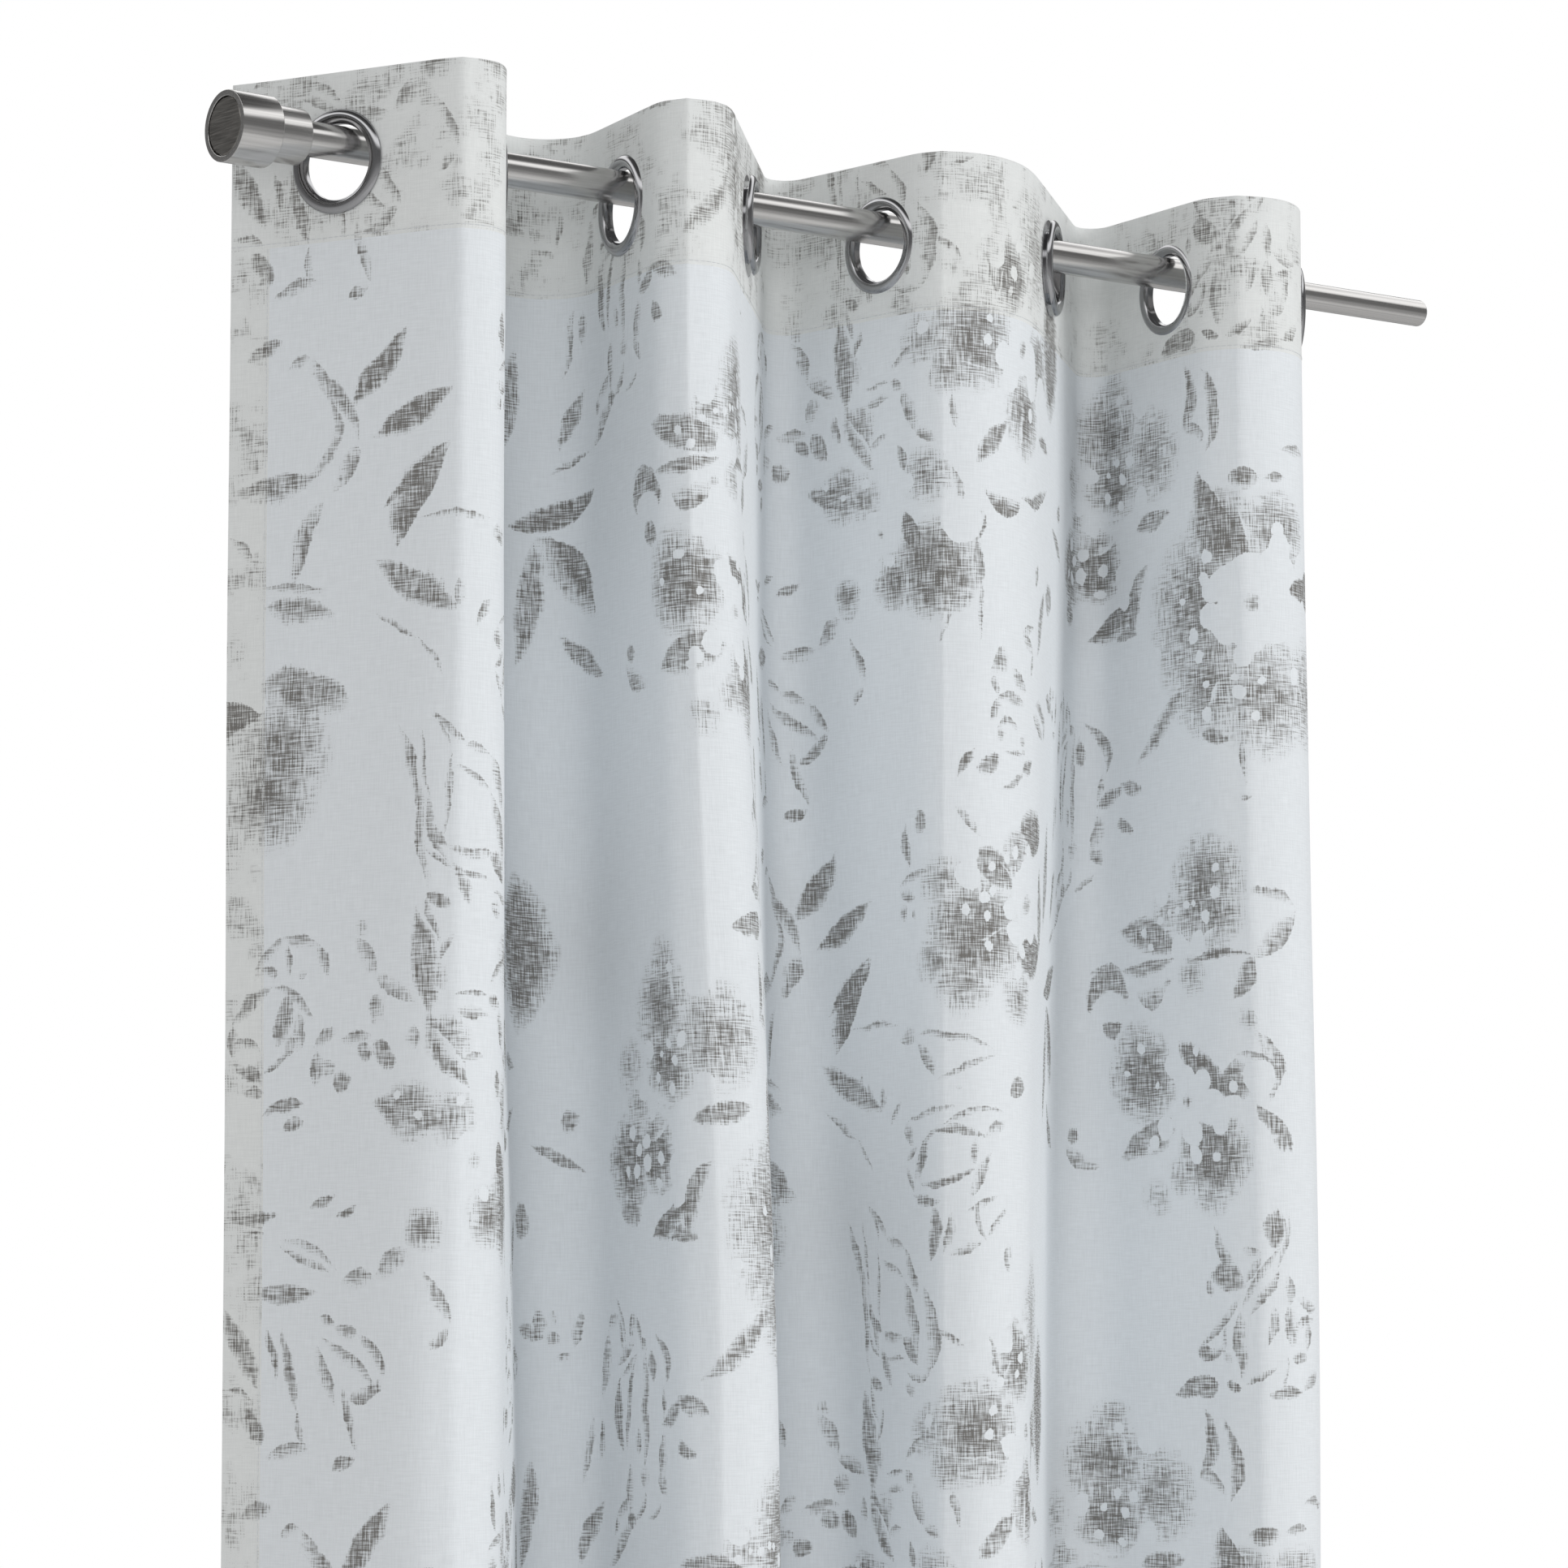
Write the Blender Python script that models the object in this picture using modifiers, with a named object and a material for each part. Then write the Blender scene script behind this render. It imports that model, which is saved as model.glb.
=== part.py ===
"""Eyelet curtain on a telescopic rod, in metres.

The rod's axis is the X axis, with the finial at the left (-X) end. The room is on the -Y side and the window on
the +Y side. The origin is on the rod's axis, half way along the rod as it is set.

The curtain is one flat panel of cloth, and every point of it has a distance u along its width from the left edge.
The folds are drawn in plan by the cloth's heading: the angle between the cloth and +X. Between two eyelets the
cloth leaves one eyelet on its heading, makes one smooth turn, and reaches the next eyelet on that one's heading.
"""

import math

import bmesh
import bpy
import numpy as np
from mathutils import Vector

# Rod
ROD_LENGTH = 0.867
OUTER_TUBE_RADIUS = 0.0095
OUTER_TUBE_BORE = 0.0084
OUTER_TUBE_LENGTH = 0.7065
INNER_TUBE_RADIUS = 0.0080
INNER_TUBE_BORE = 0.0070
INNER_TUBE_LENGTH = 0.660
TUBE_STEPS = 32

# Finial: a stepped, turned cap with an inlaid disc, pushed over the outer tube and held by a grub screw
HEAD_RADIUS = 0.01915
HEAD_LENGTH = 0.0253
COLLAR_RADIUS = 0.0150
COLLAR_LENGTH = 0.0205
DISC_RADIUS = 0.0153
DISC_THICKNESS = 0.0016
DISC_SET_BACK = 0.0003
DISC_GROOVE = 0.0006
SOCKET_BORE = 0.0099
SOCKET_FLOOR = 0.0080
EDGE_BREAK = 0.0005
GRUB_SCREW_RADIUS = 0.0019
GRUB_SCREW_LENGTH = 0.0042
GRUB_SCREW_FROM_COLLAR_END = 0.0095
HEX_SOCKET_RADIUS = 0.0011
HEX_SOCKET_DEPTH = 0.0022
FINIAL_STEPS = 40

# Eyelets: two snap-together halves round a hole in the header
EYELET_COUNT = 8
EYELET_PITCH = 0.188
BEAD_CIRCLE_RADIUS = 0.02435
BEAD_RADIUS = 0.00405
BARREL_BORE = 0.02055
BARREL_RADIUS = 0.0214
BARREL_REACH = 0.0024
CLOTH_HOLE_RADIUS = 0.0220
EYELET_STEPS = 20
HOLE_STEPS = 24

# Cloth
FLAT_WIDTH = 1.45
DROP = 2.45
TOP_ABOVE_ROD = 0.0387
HEADER_DEPTH = 0.091
SIDE_HEM = 0.025
BOTTOM_HEM = 0.080
CLOTH = 0.0006
STIFFENER = 0.0004
LAYER_GAP = 0.0003
SIDE_MARGIN = (FLAT_WIDTH - (EYELET_COUNT - 1) * EYELET_PITCH) / 2

# Folds at the header and lower down: the headings at the eyelets in degrees, and how sharp each turn is,
# where 1 spreads the turn over all the free cloth between two eyelets
FIRST_EYELET_FROM_FACE = 0.0710
HEADER_HEADINGS = (-67.5, 59, -102, 46.5, -85.5, 40.5, -96.5, 56)
HEADER_SHARPNESS = (1.9, 1.0, 1.7, 3.0, 1.0, 3.0, 1.0)
LOWER_FIRST_FROM_FACE = 0.0694
LOWER_HEADINGS = (-73, 51, -97.5, 54, -97.5, 45.5, -84.5, 49)
LOWER_SHARPNESS = (1.3,) * 7
EDGE_HEADINGS = (-63, 75)
EVEN_FROM_TOP = 0.78
FLAT_AT_EYELET = 0.0295
PLAN_STEP = 0.001
COLUMN_STEP = 0.012

GAP = 0.0003
HANG_GAP = 0.0010
FACE_X = -ROD_LENGTH / 2
TUBE_END_X = ROD_LENGTH / 2
PARTS = "window_curtain_on_rod"
CUTTERS = "cutters"


# ---------------------------------------------------------------- scene and materials


def start_scene():
    """Empties the scene and makes the two collections."""
    for item in list(bpy.data.objects):
        bpy.data.objects.remove(item, do_unlink=True)
    for name in (PARTS, CUTTERS):
        collection = bpy.data.collections.new(name)
        bpy.context.scene.collection.children.link(collection)


def metal(name, colour, roughness):
    """A metallic Principled material."""
    return surface(name, colour, roughness, 1.0)


def surface(name, colour, roughness, metallic=0.0):
    """A Principled material."""
    material = bpy.data.materials.new(name)
    material.use_nodes = True
    shader = material.node_tree.nodes["Principled BSDF"]
    shader.inputs["Base Color"].default_value = (*colour, 1.0)
    shader.inputs["Roughness"].default_value = roughness
    shader.inputs["Metallic"].default_value = metallic
    return material


def add_object(name, mesh, material, collection=PARTS):
    """Links a mesh as an object of the given collection."""
    item = bpy.data.objects.new(name, mesh)
    bpy.data.collections[collection].objects.link(item)
    if material is not None:
        mesh.materials.append(material)
    return item


# ---------------------------------------------------------------- turned pieces


def turned(name, profile, steps, material, closed):
    """A profile of (radius, height) points turned about Z. The outer side runs from top to bottom."""
    count = len(profile)
    edges = [(i, i + 1) for i in range(count - 1)]
    if closed:
        edges.append((count - 1, 0))
    mesh = bpy.data.meshes.new(name)
    mesh.from_pydata([(radius, 0.0, height) for radius, height in profile], edges, [])
    item = add_object(name, mesh, material)
    screw = item.modifiers.new("turn", "SCREW")
    screw.axis = "Z"
    screw.angle = math.tau
    screw.steps = steps
    screw.render_steps = steps
    screw.use_merge_vertices = True
    screw.merge_threshold = 0.00001
    screw.use_smooth_shade = True
    return item


def tube(name, bore, radius, start_x, length, material):
    """A plain round tube along +X from start_x."""
    profile = [(radius, length), (radius, 0.0), (bore, 0.0), (bore, length)]
    item = turned(name, profile, TUBE_STEPS, material, closed=True)
    item.location = (start_x, 0.0, 0.0)
    item.rotation_euler = (0.0, math.pi / 2, 0.0)
    return item


def make_rod(steel):
    """The outer tube, which the finial covers at its left end, and the thinner tube that slides in it."""
    start = FACE_X + SOCKET_FLOOR + GAP
    tube("rod_outer_tube", OUTER_TUBE_BORE, OUTER_TUBE_RADIUS, start, OUTER_TUBE_LENGTH, steel)
    inner_start = TUBE_END_X - INNER_TUBE_LENGTH
    tube("rod_inner_tube", INNER_TUBE_BORE, INNER_TUBE_RADIUS, inner_start, INNER_TUBE_LENGTH, steel)


def finial_profile():
    """Half section of the finial body, with height 0 at its face and falling towards the rod."""
    recess = DISC_RADIUS + DISC_GROOVE
    floor = -(DISC_SET_BACK + DISC_THICKNESS + GAP)
    head_end = -HEAD_LENGTH
    collar_end = -(HEAD_LENGTH + COLLAR_LENGTH)
    return [
        (0.0, floor),
        (recess, floor),
        (recess, 0.0),
        (HEAD_RADIUS - EDGE_BREAK, 0.0),
        (HEAD_RADIUS, -EDGE_BREAK),
        (HEAD_RADIUS, head_end + EDGE_BREAK),
        (HEAD_RADIUS - EDGE_BREAK, head_end),
        (COLLAR_RADIUS, head_end),
        (COLLAR_RADIUS, collar_end + EDGE_BREAK),
        (COLLAR_RADIUS - EDGE_BREAK, collar_end),
        (SOCKET_BORE, collar_end),
        (SOCKET_BORE, -SOCKET_FLOOR),
        (0.0, -SOCKET_FLOOR),
    ]


def disc_profile():
    """Half section of the inlaid disc, with height 0 at the finial's face."""
    top = -DISC_SET_BACK
    bottom = top - DISC_THICKNESS
    return [
        (0.0, top),
        (DISC_RADIUS - EDGE_BREAK, top),
        (DISC_RADIUS, top - EDGE_BREAK),
        (DISC_RADIUS, bottom),
        (0.0, bottom),
    ]


def grub_screw_profile():
    """Half section of the grub screw, with height 0 at its outer end and an open drive socket there."""
    return [
        (0.0, -HEX_SOCKET_DEPTH),
        (HEX_SOCKET_RADIUS, -HEX_SOCKET_DEPTH),
        (HEX_SOCKET_RADIUS, 0.0),
        (GRUB_SCREW_RADIUS, 0.0),
        (GRUB_SCREW_RADIUS, -GRUB_SCREW_LENGTH),
        (0.0, -GRUB_SCREW_LENGTH),
    ]


def cylinder_cutter(name, radius, depth, location, rotation, steps):
    """A hidden cylinder that cuts a hole."""
    mesh = bpy.data.meshes.new(name)
    shape = bmesh.new()
    bmesh.ops.create_cone(
        shape, cap_ends=True, segments=steps, radius1=radius, radius2=radius, depth=depth
    )
    shape.to_mesh(mesh)
    shape.free()
    cutter = add_object(name, mesh, None, CUTTERS)
    cutter.location = location
    cutter.rotation_euler = rotation
    cutter.hide_render = True
    cutter.display_type = "WIRE"
    return cutter


def cut(item, cutter):
    """Takes the cutter's shape out of the item."""
    boolean = item.modifiers.new("cut_" + cutter.name, "BOOLEAN")
    boolean.operation = "DIFFERENCE"
    boolean.solver = "EXACT"
    boolean.object = cutter


def make_finial(steel, dark_steel, screw_steel):
    """The finial body with its disc on the face, and the grub screw in the window side of its collar."""
    facing_left = (0.0, -math.pi / 2, 0.0)
    facing_window = (-math.pi / 2, 0.0, 0.0)
    body = turned("finial_body", finial_profile(), FINIAL_STEPS, steel, closed=False)
    disc = turned("finial_disc", disc_profile(), FINIAL_STEPS, dark_steel, closed=False)
    for item in (body, disc):
        item.location = (FACE_X, 0.0, 0.0)
        item.rotation_euler = facing_left
    screw_x = FACE_X + HEAD_LENGTH + COLLAR_LENGTH - GRUB_SCREW_FROM_COLLAR_END
    screw = turned("finial_grub_screw", grub_screw_profile(), 12, screw_steel, closed=False)
    screw.location = (screw_x, OUTER_TUBE_RADIUS + GAP + GRUB_SCREW_LENGTH, 0.0)
    screw.rotation_euler = facing_window
    hole_at = (screw_x, COLLAR_RADIUS, 0.0)
    hole_radius = GRUB_SCREW_RADIUS + GAP
    hole = cylinder_cutter("grub_screw_hole", hole_radius, COLLAR_RADIUS, hole_at, facing_window, 16)
    cut(body, hole)


# ---------------------------------------------------------------- the folds in plan


def smooth(t):
    """A smooth step from 0 to 1."""
    t = np.clip(t, 0.0, 1.0)
    return t * t * (3.0 - 2.0 * t)


def turning(start, end, sharpness, skew):
    """The headings from one eyelet to the next, a plan step apart. A skew below 1 makes the turn come early."""
    steps = round(EYELET_PITCH / PLAN_STEP)
    u = (np.arange(steps) + 0.5) * PLAN_STEP
    share = np.clip((u - FLAT_AT_EYELET) / (EYELET_PITCH - 2 * FLAT_AT_EYELET), 0.0, 1.0)
    return start + (end - start) * smooth((share**skew - 0.5) * sharpness + 0.5)


def span_headings(start, end, sharpness):
    """The headings between two eyelets, with the skew that brings the cloth back to the rod's line."""
    early, late = 0.2, 5.0
    for _ in range(50):
        skew = math.sqrt(early * late)
        too_early = float(np.sum(np.sin(turning(start, end, sharpness, skew)))) * (end - start) > 0.0
        early, late = (skew, late) if too_early else (early, skew)
    return turning(start, end, sharpness, skew)


def heading_along(headings, sharpness):
    """The cloth's heading, in radians, at each plan step from the left edge to the right edge."""
    angles = [math.radians(heading) for heading in headings]
    left_edge, right_edge = (math.radians(edge) for edge in EDGE_HEADINGS)
    steps = round(SIDE_MARGIN / PLAN_STEP)
    from_eyelet = (np.arange(steps) + 0.5) * PLAN_STEP
    bend = smooth((from_eyelet - FLAT_AT_EYELET) / (SIDE_MARGIN - FLAT_AT_EYELET))
    left = angles[0] + (left_edge - angles[0]) * bend[::-1]
    right = angles[-1] + (right_edge - angles[-1]) * bend
    spans = [
        span_headings(angles[i], angles[i + 1], sharpness[i]) for i in range(EYELET_COUNT - 1)
    ]
    return np.concatenate([left, *spans, right])


def plan_curve(headings, sharpness, first_from_face):
    """The cloth's centre line in plan as an array of (x, y), one point each plan step."""
    heading = heading_along(headings, sharpness)
    x = np.concatenate([[0.0], np.cumsum(np.cos(heading)) * PLAN_STEP])
    y = np.concatenate([[0.0], np.cumsum(np.sin(heading)) * PLAN_STEP])
    u = np.arange(len(x)) * PLAN_STEP
    x += FACE_X + first_from_face - np.interp(SIDE_MARGIN, u, x)
    y -= np.interp(SIDE_MARGIN, u, y)
    return np.stack([x, y], axis=1)


class Cloth:
    """The hung cloth: where a point at u along the width and z in height lies, and which way it faces."""

    def __init__(self):
        self.header = plan_curve(HEADER_HEADINGS, HEADER_SHARPNESS, FIRST_EYELET_FROM_FACE)
        self.lower = plan_curve(LOWER_HEADINGS, LOWER_SHARPNESS, LOWER_FIRST_FROM_FACE)
        self.u = np.arange(len(self.header)) * PLAN_STEP

    def evenness(self, z):
        """0 in the header, where the eyelets hold the folds, and 1 where the folds hang evenly."""
        free_top = TOP_ABOVE_ROD - HEADER_DEPTH
        return float(smooth((free_top - z) / (EVEN_FROM_TOP - HEADER_DEPTH)))

    def middle(self, u, z):
        """The point of the panel's middle surface at u and height z."""
        even = self.evenness(z)
        plan = self.header * (1.0 - even) + self.lower * even
        return Vector((float(np.interp(u, self.u, plan[:, 0])), float(np.interp(u, self.u, plan[:, 1])), z))

    def window_side(self, u, z):
        """The horizontal unit normal of the cloth on its window side."""
        before = self.middle(max(u - 2 * PLAN_STEP, 0.0), z)
        after = self.middle(min(u + 2 * PLAN_STEP, FLAT_WIDTH), z)
        along = (after - before).normalized()
        return Vector((-along.y, along.x, 0.0))

    def at(self, u, z, offset):
        """The point at u and z, moved towards the window side."""
        return self.middle(u, z) + self.window_side(u, z) * offset


def eyelet_u(index):
    """Where an eyelet sits along the width of the flat cloth. The first has index 0."""
    return SIDE_MARGIN + index * EYELET_PITCH


# ---------------------------------------------------------------- cloth layers


def shared_stations():
    """Places along the width where every layer gets a column of points. One flat facet spans each eyelet."""
    ends = [0.0, FLAT_WIDTH]
    for index in range(EYELET_COUNT):
        ends += [eyelet_u(index) - FLAT_AT_EYELET, eyelet_u(index) + FLAT_AT_EYELET]
    ends.sort()
    stations = [0.0]
    for free, (start, end) in enumerate(zip(ends, ends[1:])):
        at_eyelet = free % 2 == 1
        count = 1 if at_eyelet else round((end - start) / COLUMN_STEP)
        stations += [start + (end - start) * (i + 1) / count for i in range(count)]
    return stations


def column_stations(start_u, end_u):
    """The shared stations inside a layer's range, with the range's own ends."""
    inside = [u for u in shared_stations() if start_u + PLAN_STEP < u < end_u - PLAN_STEP]
    return [start_u, *inside, end_u]


def layer(name, cloth, u_range, heights, offset, thickness, material):
    """One layer of cloth: an open surface through the given heights, thickened evenly to both sides."""
    stations = column_stations(*u_range)
    mesh = bpy.data.meshes.new(name)
    shape = bmesh.new()
    rows = [[shape.verts.new(cloth.at(u, z, offset)) for u in stations] for z in heights]
    for upper, lower in zip(rows, rows[1:]):
        for i in range(len(stations) - 1):
            shape.faces.new((upper[i], lower[i], lower[i + 1], upper[i + 1]))
    bmesh.ops.recalc_face_normals(shape, faces=shape.faces)
    shape.to_mesh(mesh)
    shape.free()
    mesh.shade_smooth()
    item = add_object(name, mesh, material)
    solid = item.modifiers.new("thickness", "SOLIDIFY")
    solid.thickness = thickness
    solid.offset = 0.0
    return item


def make_cloth(cloth, printed, stiff, hole):
    """The panel, the stiffener and turned-over facing of its header, and its side and bottom hems."""
    top = TOP_ABOVE_ROD
    bottom = top - DROP
    header_end = top - HEADER_DEPTH
    hem_top = bottom + BOTTOM_HEM
    folding = [header_end - (EVEN_FROM_TOP - HEADER_DEPTH) * share for share in (0.25, 0.5, 0.75, 1.0)]
    whole = (0.0, FLAT_WIDTH)

    panel = layer("curtain_panel", cloth, whole, [top, header_end, *folding, bottom], 0.0, CLOTH, printed)
    stiffener_offset = CLOTH / 2 + LAYER_GAP + STIFFENER / 2
    facing_offset = stiffener_offset + STIFFENER / 2 + LAYER_GAP + CLOTH / 2
    header = [top, header_end]
    stiffener = layer("header_stiffener", cloth, whole, header, stiffener_offset, STIFFENER, stiff)
    facing = layer("header_facing", cloth, whole, header, facing_offset, CLOTH, printed)
    for item in (panel, stiffener, facing):
        cut(item, hole)

    hem_offset = CLOTH + LAYER_GAP
    side_heights = [header_end - GAP, *folding, bottom]
    right_hem_u = (FLAT_WIDTH - SIDE_HEM, FLAT_WIDTH)
    between_u = (SIDE_HEM + GAP, FLAT_WIDTH - SIDE_HEM - GAP)
    layer("left_side_hem", cloth, (0.0, SIDE_HEM), side_heights, hem_offset, CLOTH, printed)
    layer("right_side_hem", cloth, right_hem_u, side_heights, hem_offset, CLOTH, printed)
    layer("bottom_hem", cloth, between_u, [hem_top, bottom], hem_offset, CLOTH, printed)


# ---------------------------------------------------------------- eyelets


def drop_below_rod(heading):
    """How far an eyelet's centre hangs below the rod's axis. A slanted eyelet rides up, as it meets the rod's side."""
    reach = OUTER_TUBE_RADIUS + BEAD_RADIUS + HANG_GAP
    level = BEAD_CIRCLE_RADIUS - reach
    sine, cosine = abs(math.sin(heading)), abs(math.cos(heading))
    if level >= BEAD_CIRCLE_RADIUS * cosine * cosine:
        return level
    return math.sqrt((BEAD_CIRCLE_RADIUS * sine) ** 2 - reach**2) * cosine / sine


def bead_arc(start_deg, end_deg, points):
    """Points on the bead's round section between two angles, measured from straight out."""
    angles = np.radians(np.linspace(start_deg, end_deg, points))
    return [
        (BEAD_CIRCLE_RADIUS + BEAD_RADIUS * math.cos(a), BEAD_RADIUS * math.sin(a)) for a in angles
    ]


def eyelet_half_profiles():
    """Half sections of the front half, which carries the barrel, and of the back half, which snaps over it."""
    stack = 2 * CLOTH + STIFFENER + 2 * LAYER_GAP
    seat = stack / 2 + GAP
    seat_angle = math.degrees(math.asin(seat / BEAD_RADIUS))
    front = [
        (BARREL_BORE, -BARREL_REACH),
        *bead_arc(180.0 - seat_angle, seat_angle, 7),
        (BARREL_RADIUS, seat),
        (BARREL_RADIUS, -BARREL_REACH),
    ]
    back_bore = BARREL_RADIUS + GAP
    back_angle = math.degrees(math.acos((back_bore - BEAD_CIRCLE_RADIUS) / BEAD_RADIUS))
    back = [(back_bore, -seat), *bead_arc(-seat_angle, -back_angle, 6)]
    return front, back


def make_eyelets(cloth, chrome):
    """The two halves of each eyelet, clamped round the header's layers, and the cutter for their holes."""
    front, back = eyelet_half_profiles()
    middle_of_stack = LAYER_GAP + (STIFFENER + CLOTH) / 2
    cutters = []
    for index in range(EYELET_COUNT):
        heading = math.radians(HEADER_HEADINGS[index])
        u = eyelet_u(index)
        centre = cloth.at(u, -drop_below_rod(heading), middle_of_stack)
        facing_room = (math.pi / 2, 0.0, heading)
        for half, profile in (("front", front), ("back", back)):
            name = f"eyelet_{index + 1}_{half}"
            item = turned(name, profile, EYELET_STEPS, chrome, closed=True)
            item.location = centre
            item.rotation_euler = facing_room
        name = f"eyelet_hole_{index + 1}"
        depth = 4 * BEAD_RADIUS
        cutters.append(cylinder_cutter(name, CLOTH_HOLE_RADIUS, depth, centre, facing_room, HOLE_STEPS))
    return joined_cutter(cutters)


def joined_cutter(cutters):
    """One cutter made of several that don't meet."""
    shape = bmesh.new()
    bpy.context.view_layer.update()
    for cutter in cutters:
        mesh = cutter.data.copy()
        mesh.transform(cutter.matrix_world)
        shape.from_mesh(mesh)
        bpy.data.meshes.remove(mesh)
        bpy.data.objects.remove(cutter, do_unlink=True)
    mesh = bpy.data.meshes.new("eyelet_holes")
    shape.to_mesh(mesh)
    shape.free()
    whole = add_object("eyelet_holes", mesh, None, CUTTERS)
    whole.hide_render = True
    whole.display_type = "WIRE"
    return whole


def main():
    start_scene()
    steel = metal("brushed_steel", (0.55, 0.55, 0.54), 0.32)
    dark_steel = metal("dark_brushed_steel", (0.22, 0.22, 0.21), 0.42)
    screw_steel = metal("screw_steel", (0.30, 0.30, 0.30), 0.40)
    chrome = metal("dark_chrome", (0.46, 0.46, 0.47), 0.12)
    printed = surface("printed_cloth", (0.80, 0.83, 0.85), 0.85)
    stiff = surface("header_stiffener", (0.86, 0.86, 0.84), 0.90)

    cloth = Cloth()
    make_rod(steel)
    make_finial(steel, dark_steel, screw_steel)
    holes = make_eyelets(cloth, chrome)
    make_cloth(cloth, printed, stiff, holes)


main()
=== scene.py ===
import math

import bmesh
import bpy
import numpy as np
from mathutils import Euler, Matrix, Vector


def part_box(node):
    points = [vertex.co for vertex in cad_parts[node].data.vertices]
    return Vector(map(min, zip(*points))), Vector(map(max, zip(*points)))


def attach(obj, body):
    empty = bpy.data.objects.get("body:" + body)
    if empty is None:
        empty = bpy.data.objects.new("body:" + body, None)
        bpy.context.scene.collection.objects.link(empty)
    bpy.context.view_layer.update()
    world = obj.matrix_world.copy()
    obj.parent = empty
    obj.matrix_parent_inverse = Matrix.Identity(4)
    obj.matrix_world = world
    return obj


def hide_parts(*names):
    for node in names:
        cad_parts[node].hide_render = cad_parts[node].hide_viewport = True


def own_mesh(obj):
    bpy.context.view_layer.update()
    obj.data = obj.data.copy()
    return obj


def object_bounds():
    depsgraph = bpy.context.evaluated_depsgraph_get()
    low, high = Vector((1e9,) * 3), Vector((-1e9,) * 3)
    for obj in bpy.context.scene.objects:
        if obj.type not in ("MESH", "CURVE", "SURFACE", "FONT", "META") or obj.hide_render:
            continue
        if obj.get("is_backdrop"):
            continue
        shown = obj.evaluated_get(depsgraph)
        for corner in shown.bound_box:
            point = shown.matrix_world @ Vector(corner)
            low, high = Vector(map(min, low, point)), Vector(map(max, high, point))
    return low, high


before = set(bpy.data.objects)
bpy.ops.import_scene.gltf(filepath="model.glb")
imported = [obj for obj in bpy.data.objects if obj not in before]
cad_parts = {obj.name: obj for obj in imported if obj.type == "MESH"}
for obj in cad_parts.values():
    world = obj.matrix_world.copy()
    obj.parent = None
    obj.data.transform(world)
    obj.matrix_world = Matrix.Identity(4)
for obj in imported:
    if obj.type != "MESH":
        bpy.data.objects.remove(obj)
CAD_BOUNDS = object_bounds()

# ---------------------------------------------------------------- the CAD part's sizes, in metres

FACE_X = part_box("finial_body")[0].x
TUBE_END_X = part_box("rod_inner_tube")[1].x
OUTER_TUBE_START_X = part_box("rod_outer_tube")[0].x
OUTER_TUBE_END_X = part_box("rod_outer_tube")[1].x
INNER_TUBE_START_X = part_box("rod_inner_tube")[0].x
OUTER_TUBE_RADIUS = 0.0095
OUTER_TUBE_BORE = 0.0084
INNER_TUBE_RADIUS = 0.0080
INNER_TUBE_BORE = 0.0070

HEAD_RADIUS = 0.01915
HEAD_LENGTH = 0.0253
COLLAR_RADIUS = 0.0150
COLLAR_LENGTH = 0.0205
DISC_RADIUS = 0.0153
DISC_THICKNESS = 0.0016
DISC_SET_BACK = 0.0003
DISC_GROOVE = 0.0006
SOCKET_BORE = 0.0099
SOCKET_FLOOR = 0.0080
EDGE_BREAK = 0.0005
GRUB_SCREW_RADIUS = 0.0019
GRUB_SCREW_LENGTH = 0.0042
GRUB_SCREW_FROM_COLLAR_END = 0.0095
SCREW_SOCKET_RADIUS = 0.0011
SCREW_SOCKET_DEPTH = 0.0022
SCREW_STEPS = 48

EYELET_COUNT = 8
EYELET_PITCH = 0.188
BEAD_CIRCLE_RADIUS = 0.02435
BEAD_RADIUS = 0.00405
BARREL_BORE = 0.02055
BARREL_RADIUS = 0.0214
BARREL_REACH = 0.0024
HALF_GAP = 0.0003
SEAT = 0.0014

FLAT_WIDTH = 1.45
DROP = 2.45
TOP_ABOVE_ROD = 0.0387
HEADER_DEPTH = 0.091
SIDE_HEM = 0.025
BOTTOM_HEM = 0.080
SIDE_MARGIN = (FLAT_WIDTH - (EYELET_COUNT - 1) * EYELET_PITCH) / 2
# The folds at the header and lower down. The first eyelet's place, the headings in degrees and the sharpness of
# each turn are rounded from least-squares fits to the photo.
FIRST_EYELET_FROM_FACE = 0.0710
HEADER_HEADINGS = (-67.5, 59, -102, 46.5, -85.5, 40.5, -96.5, 56)
HEADER_SHARPNESS = (1.9, 1.0, 1.7, 3.0, 1.0, 3.0, 1.0)
LOWER_FIRST_FROM_FACE = 0.0694
LOWER_HEADINGS = (-73, 51, -97.5, 54, -97.5, 45.5, -84.5, 49)
LOWER_SHARPNESS = (1.3,) * 7
EDGE_HEADINGS = (-63, 75)
EVEN_FROM_TOP = 0.78
FLAT_AT_EYELET = 0.0295
PLAN_STEP = 0.001

# ---------------------------------------------------------------- sizes that only the looks have

FACING_OFFSET = 0.0016
STIFFENER_OFFSET = 0.0008
HEM_OFFSET = 0.0009
CLOTH_HOLE_RADIUS = 0.0225
COLUMN = 0.004
HEADER_ROW = 0.004
ROW = 0.012
TOP_FOLD = 0.0008
TOP_FOLD_STEPS = 6
HEM_FOLD = 0.0010
HEM_GAP = 0.0003

STITCH_PITCH = 0.0036
STITCH_LENGTH = 0.0030
STITCH_RADIUS = 0.00018
STITCH_FROM_EDGE = 0.0022

TURNED_STEPS = 128
EYELET_STEPS = 112
CORNER_EASE = 0.0004

CLOTH_UV = "cloth"
MM = 1000.0
CLOTH_COLOUR = (0.792, 0.825, 0.852)
# The ground colour where a layer is turned over behind: darker and warmer, painted shade for the light that two
# layers hold back
DOUBLED_CLOTH_PAINTED_SHADE = (0.795, 0.812, 0.805)
INK_COLOUR = (0.190, 0.183, 0.172)
STIFFENER_COLOUR = (0.86, 0.86, 0.84)
THREAD_COLOUR = (0.70, 0.72, 0.74)
FLOOR_COLOUR = (0.86, 0.86, 0.86)
CLOTH_ROUGHNESS = 0.92
PLAIN_ROUGHNESS = 0.9
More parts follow.
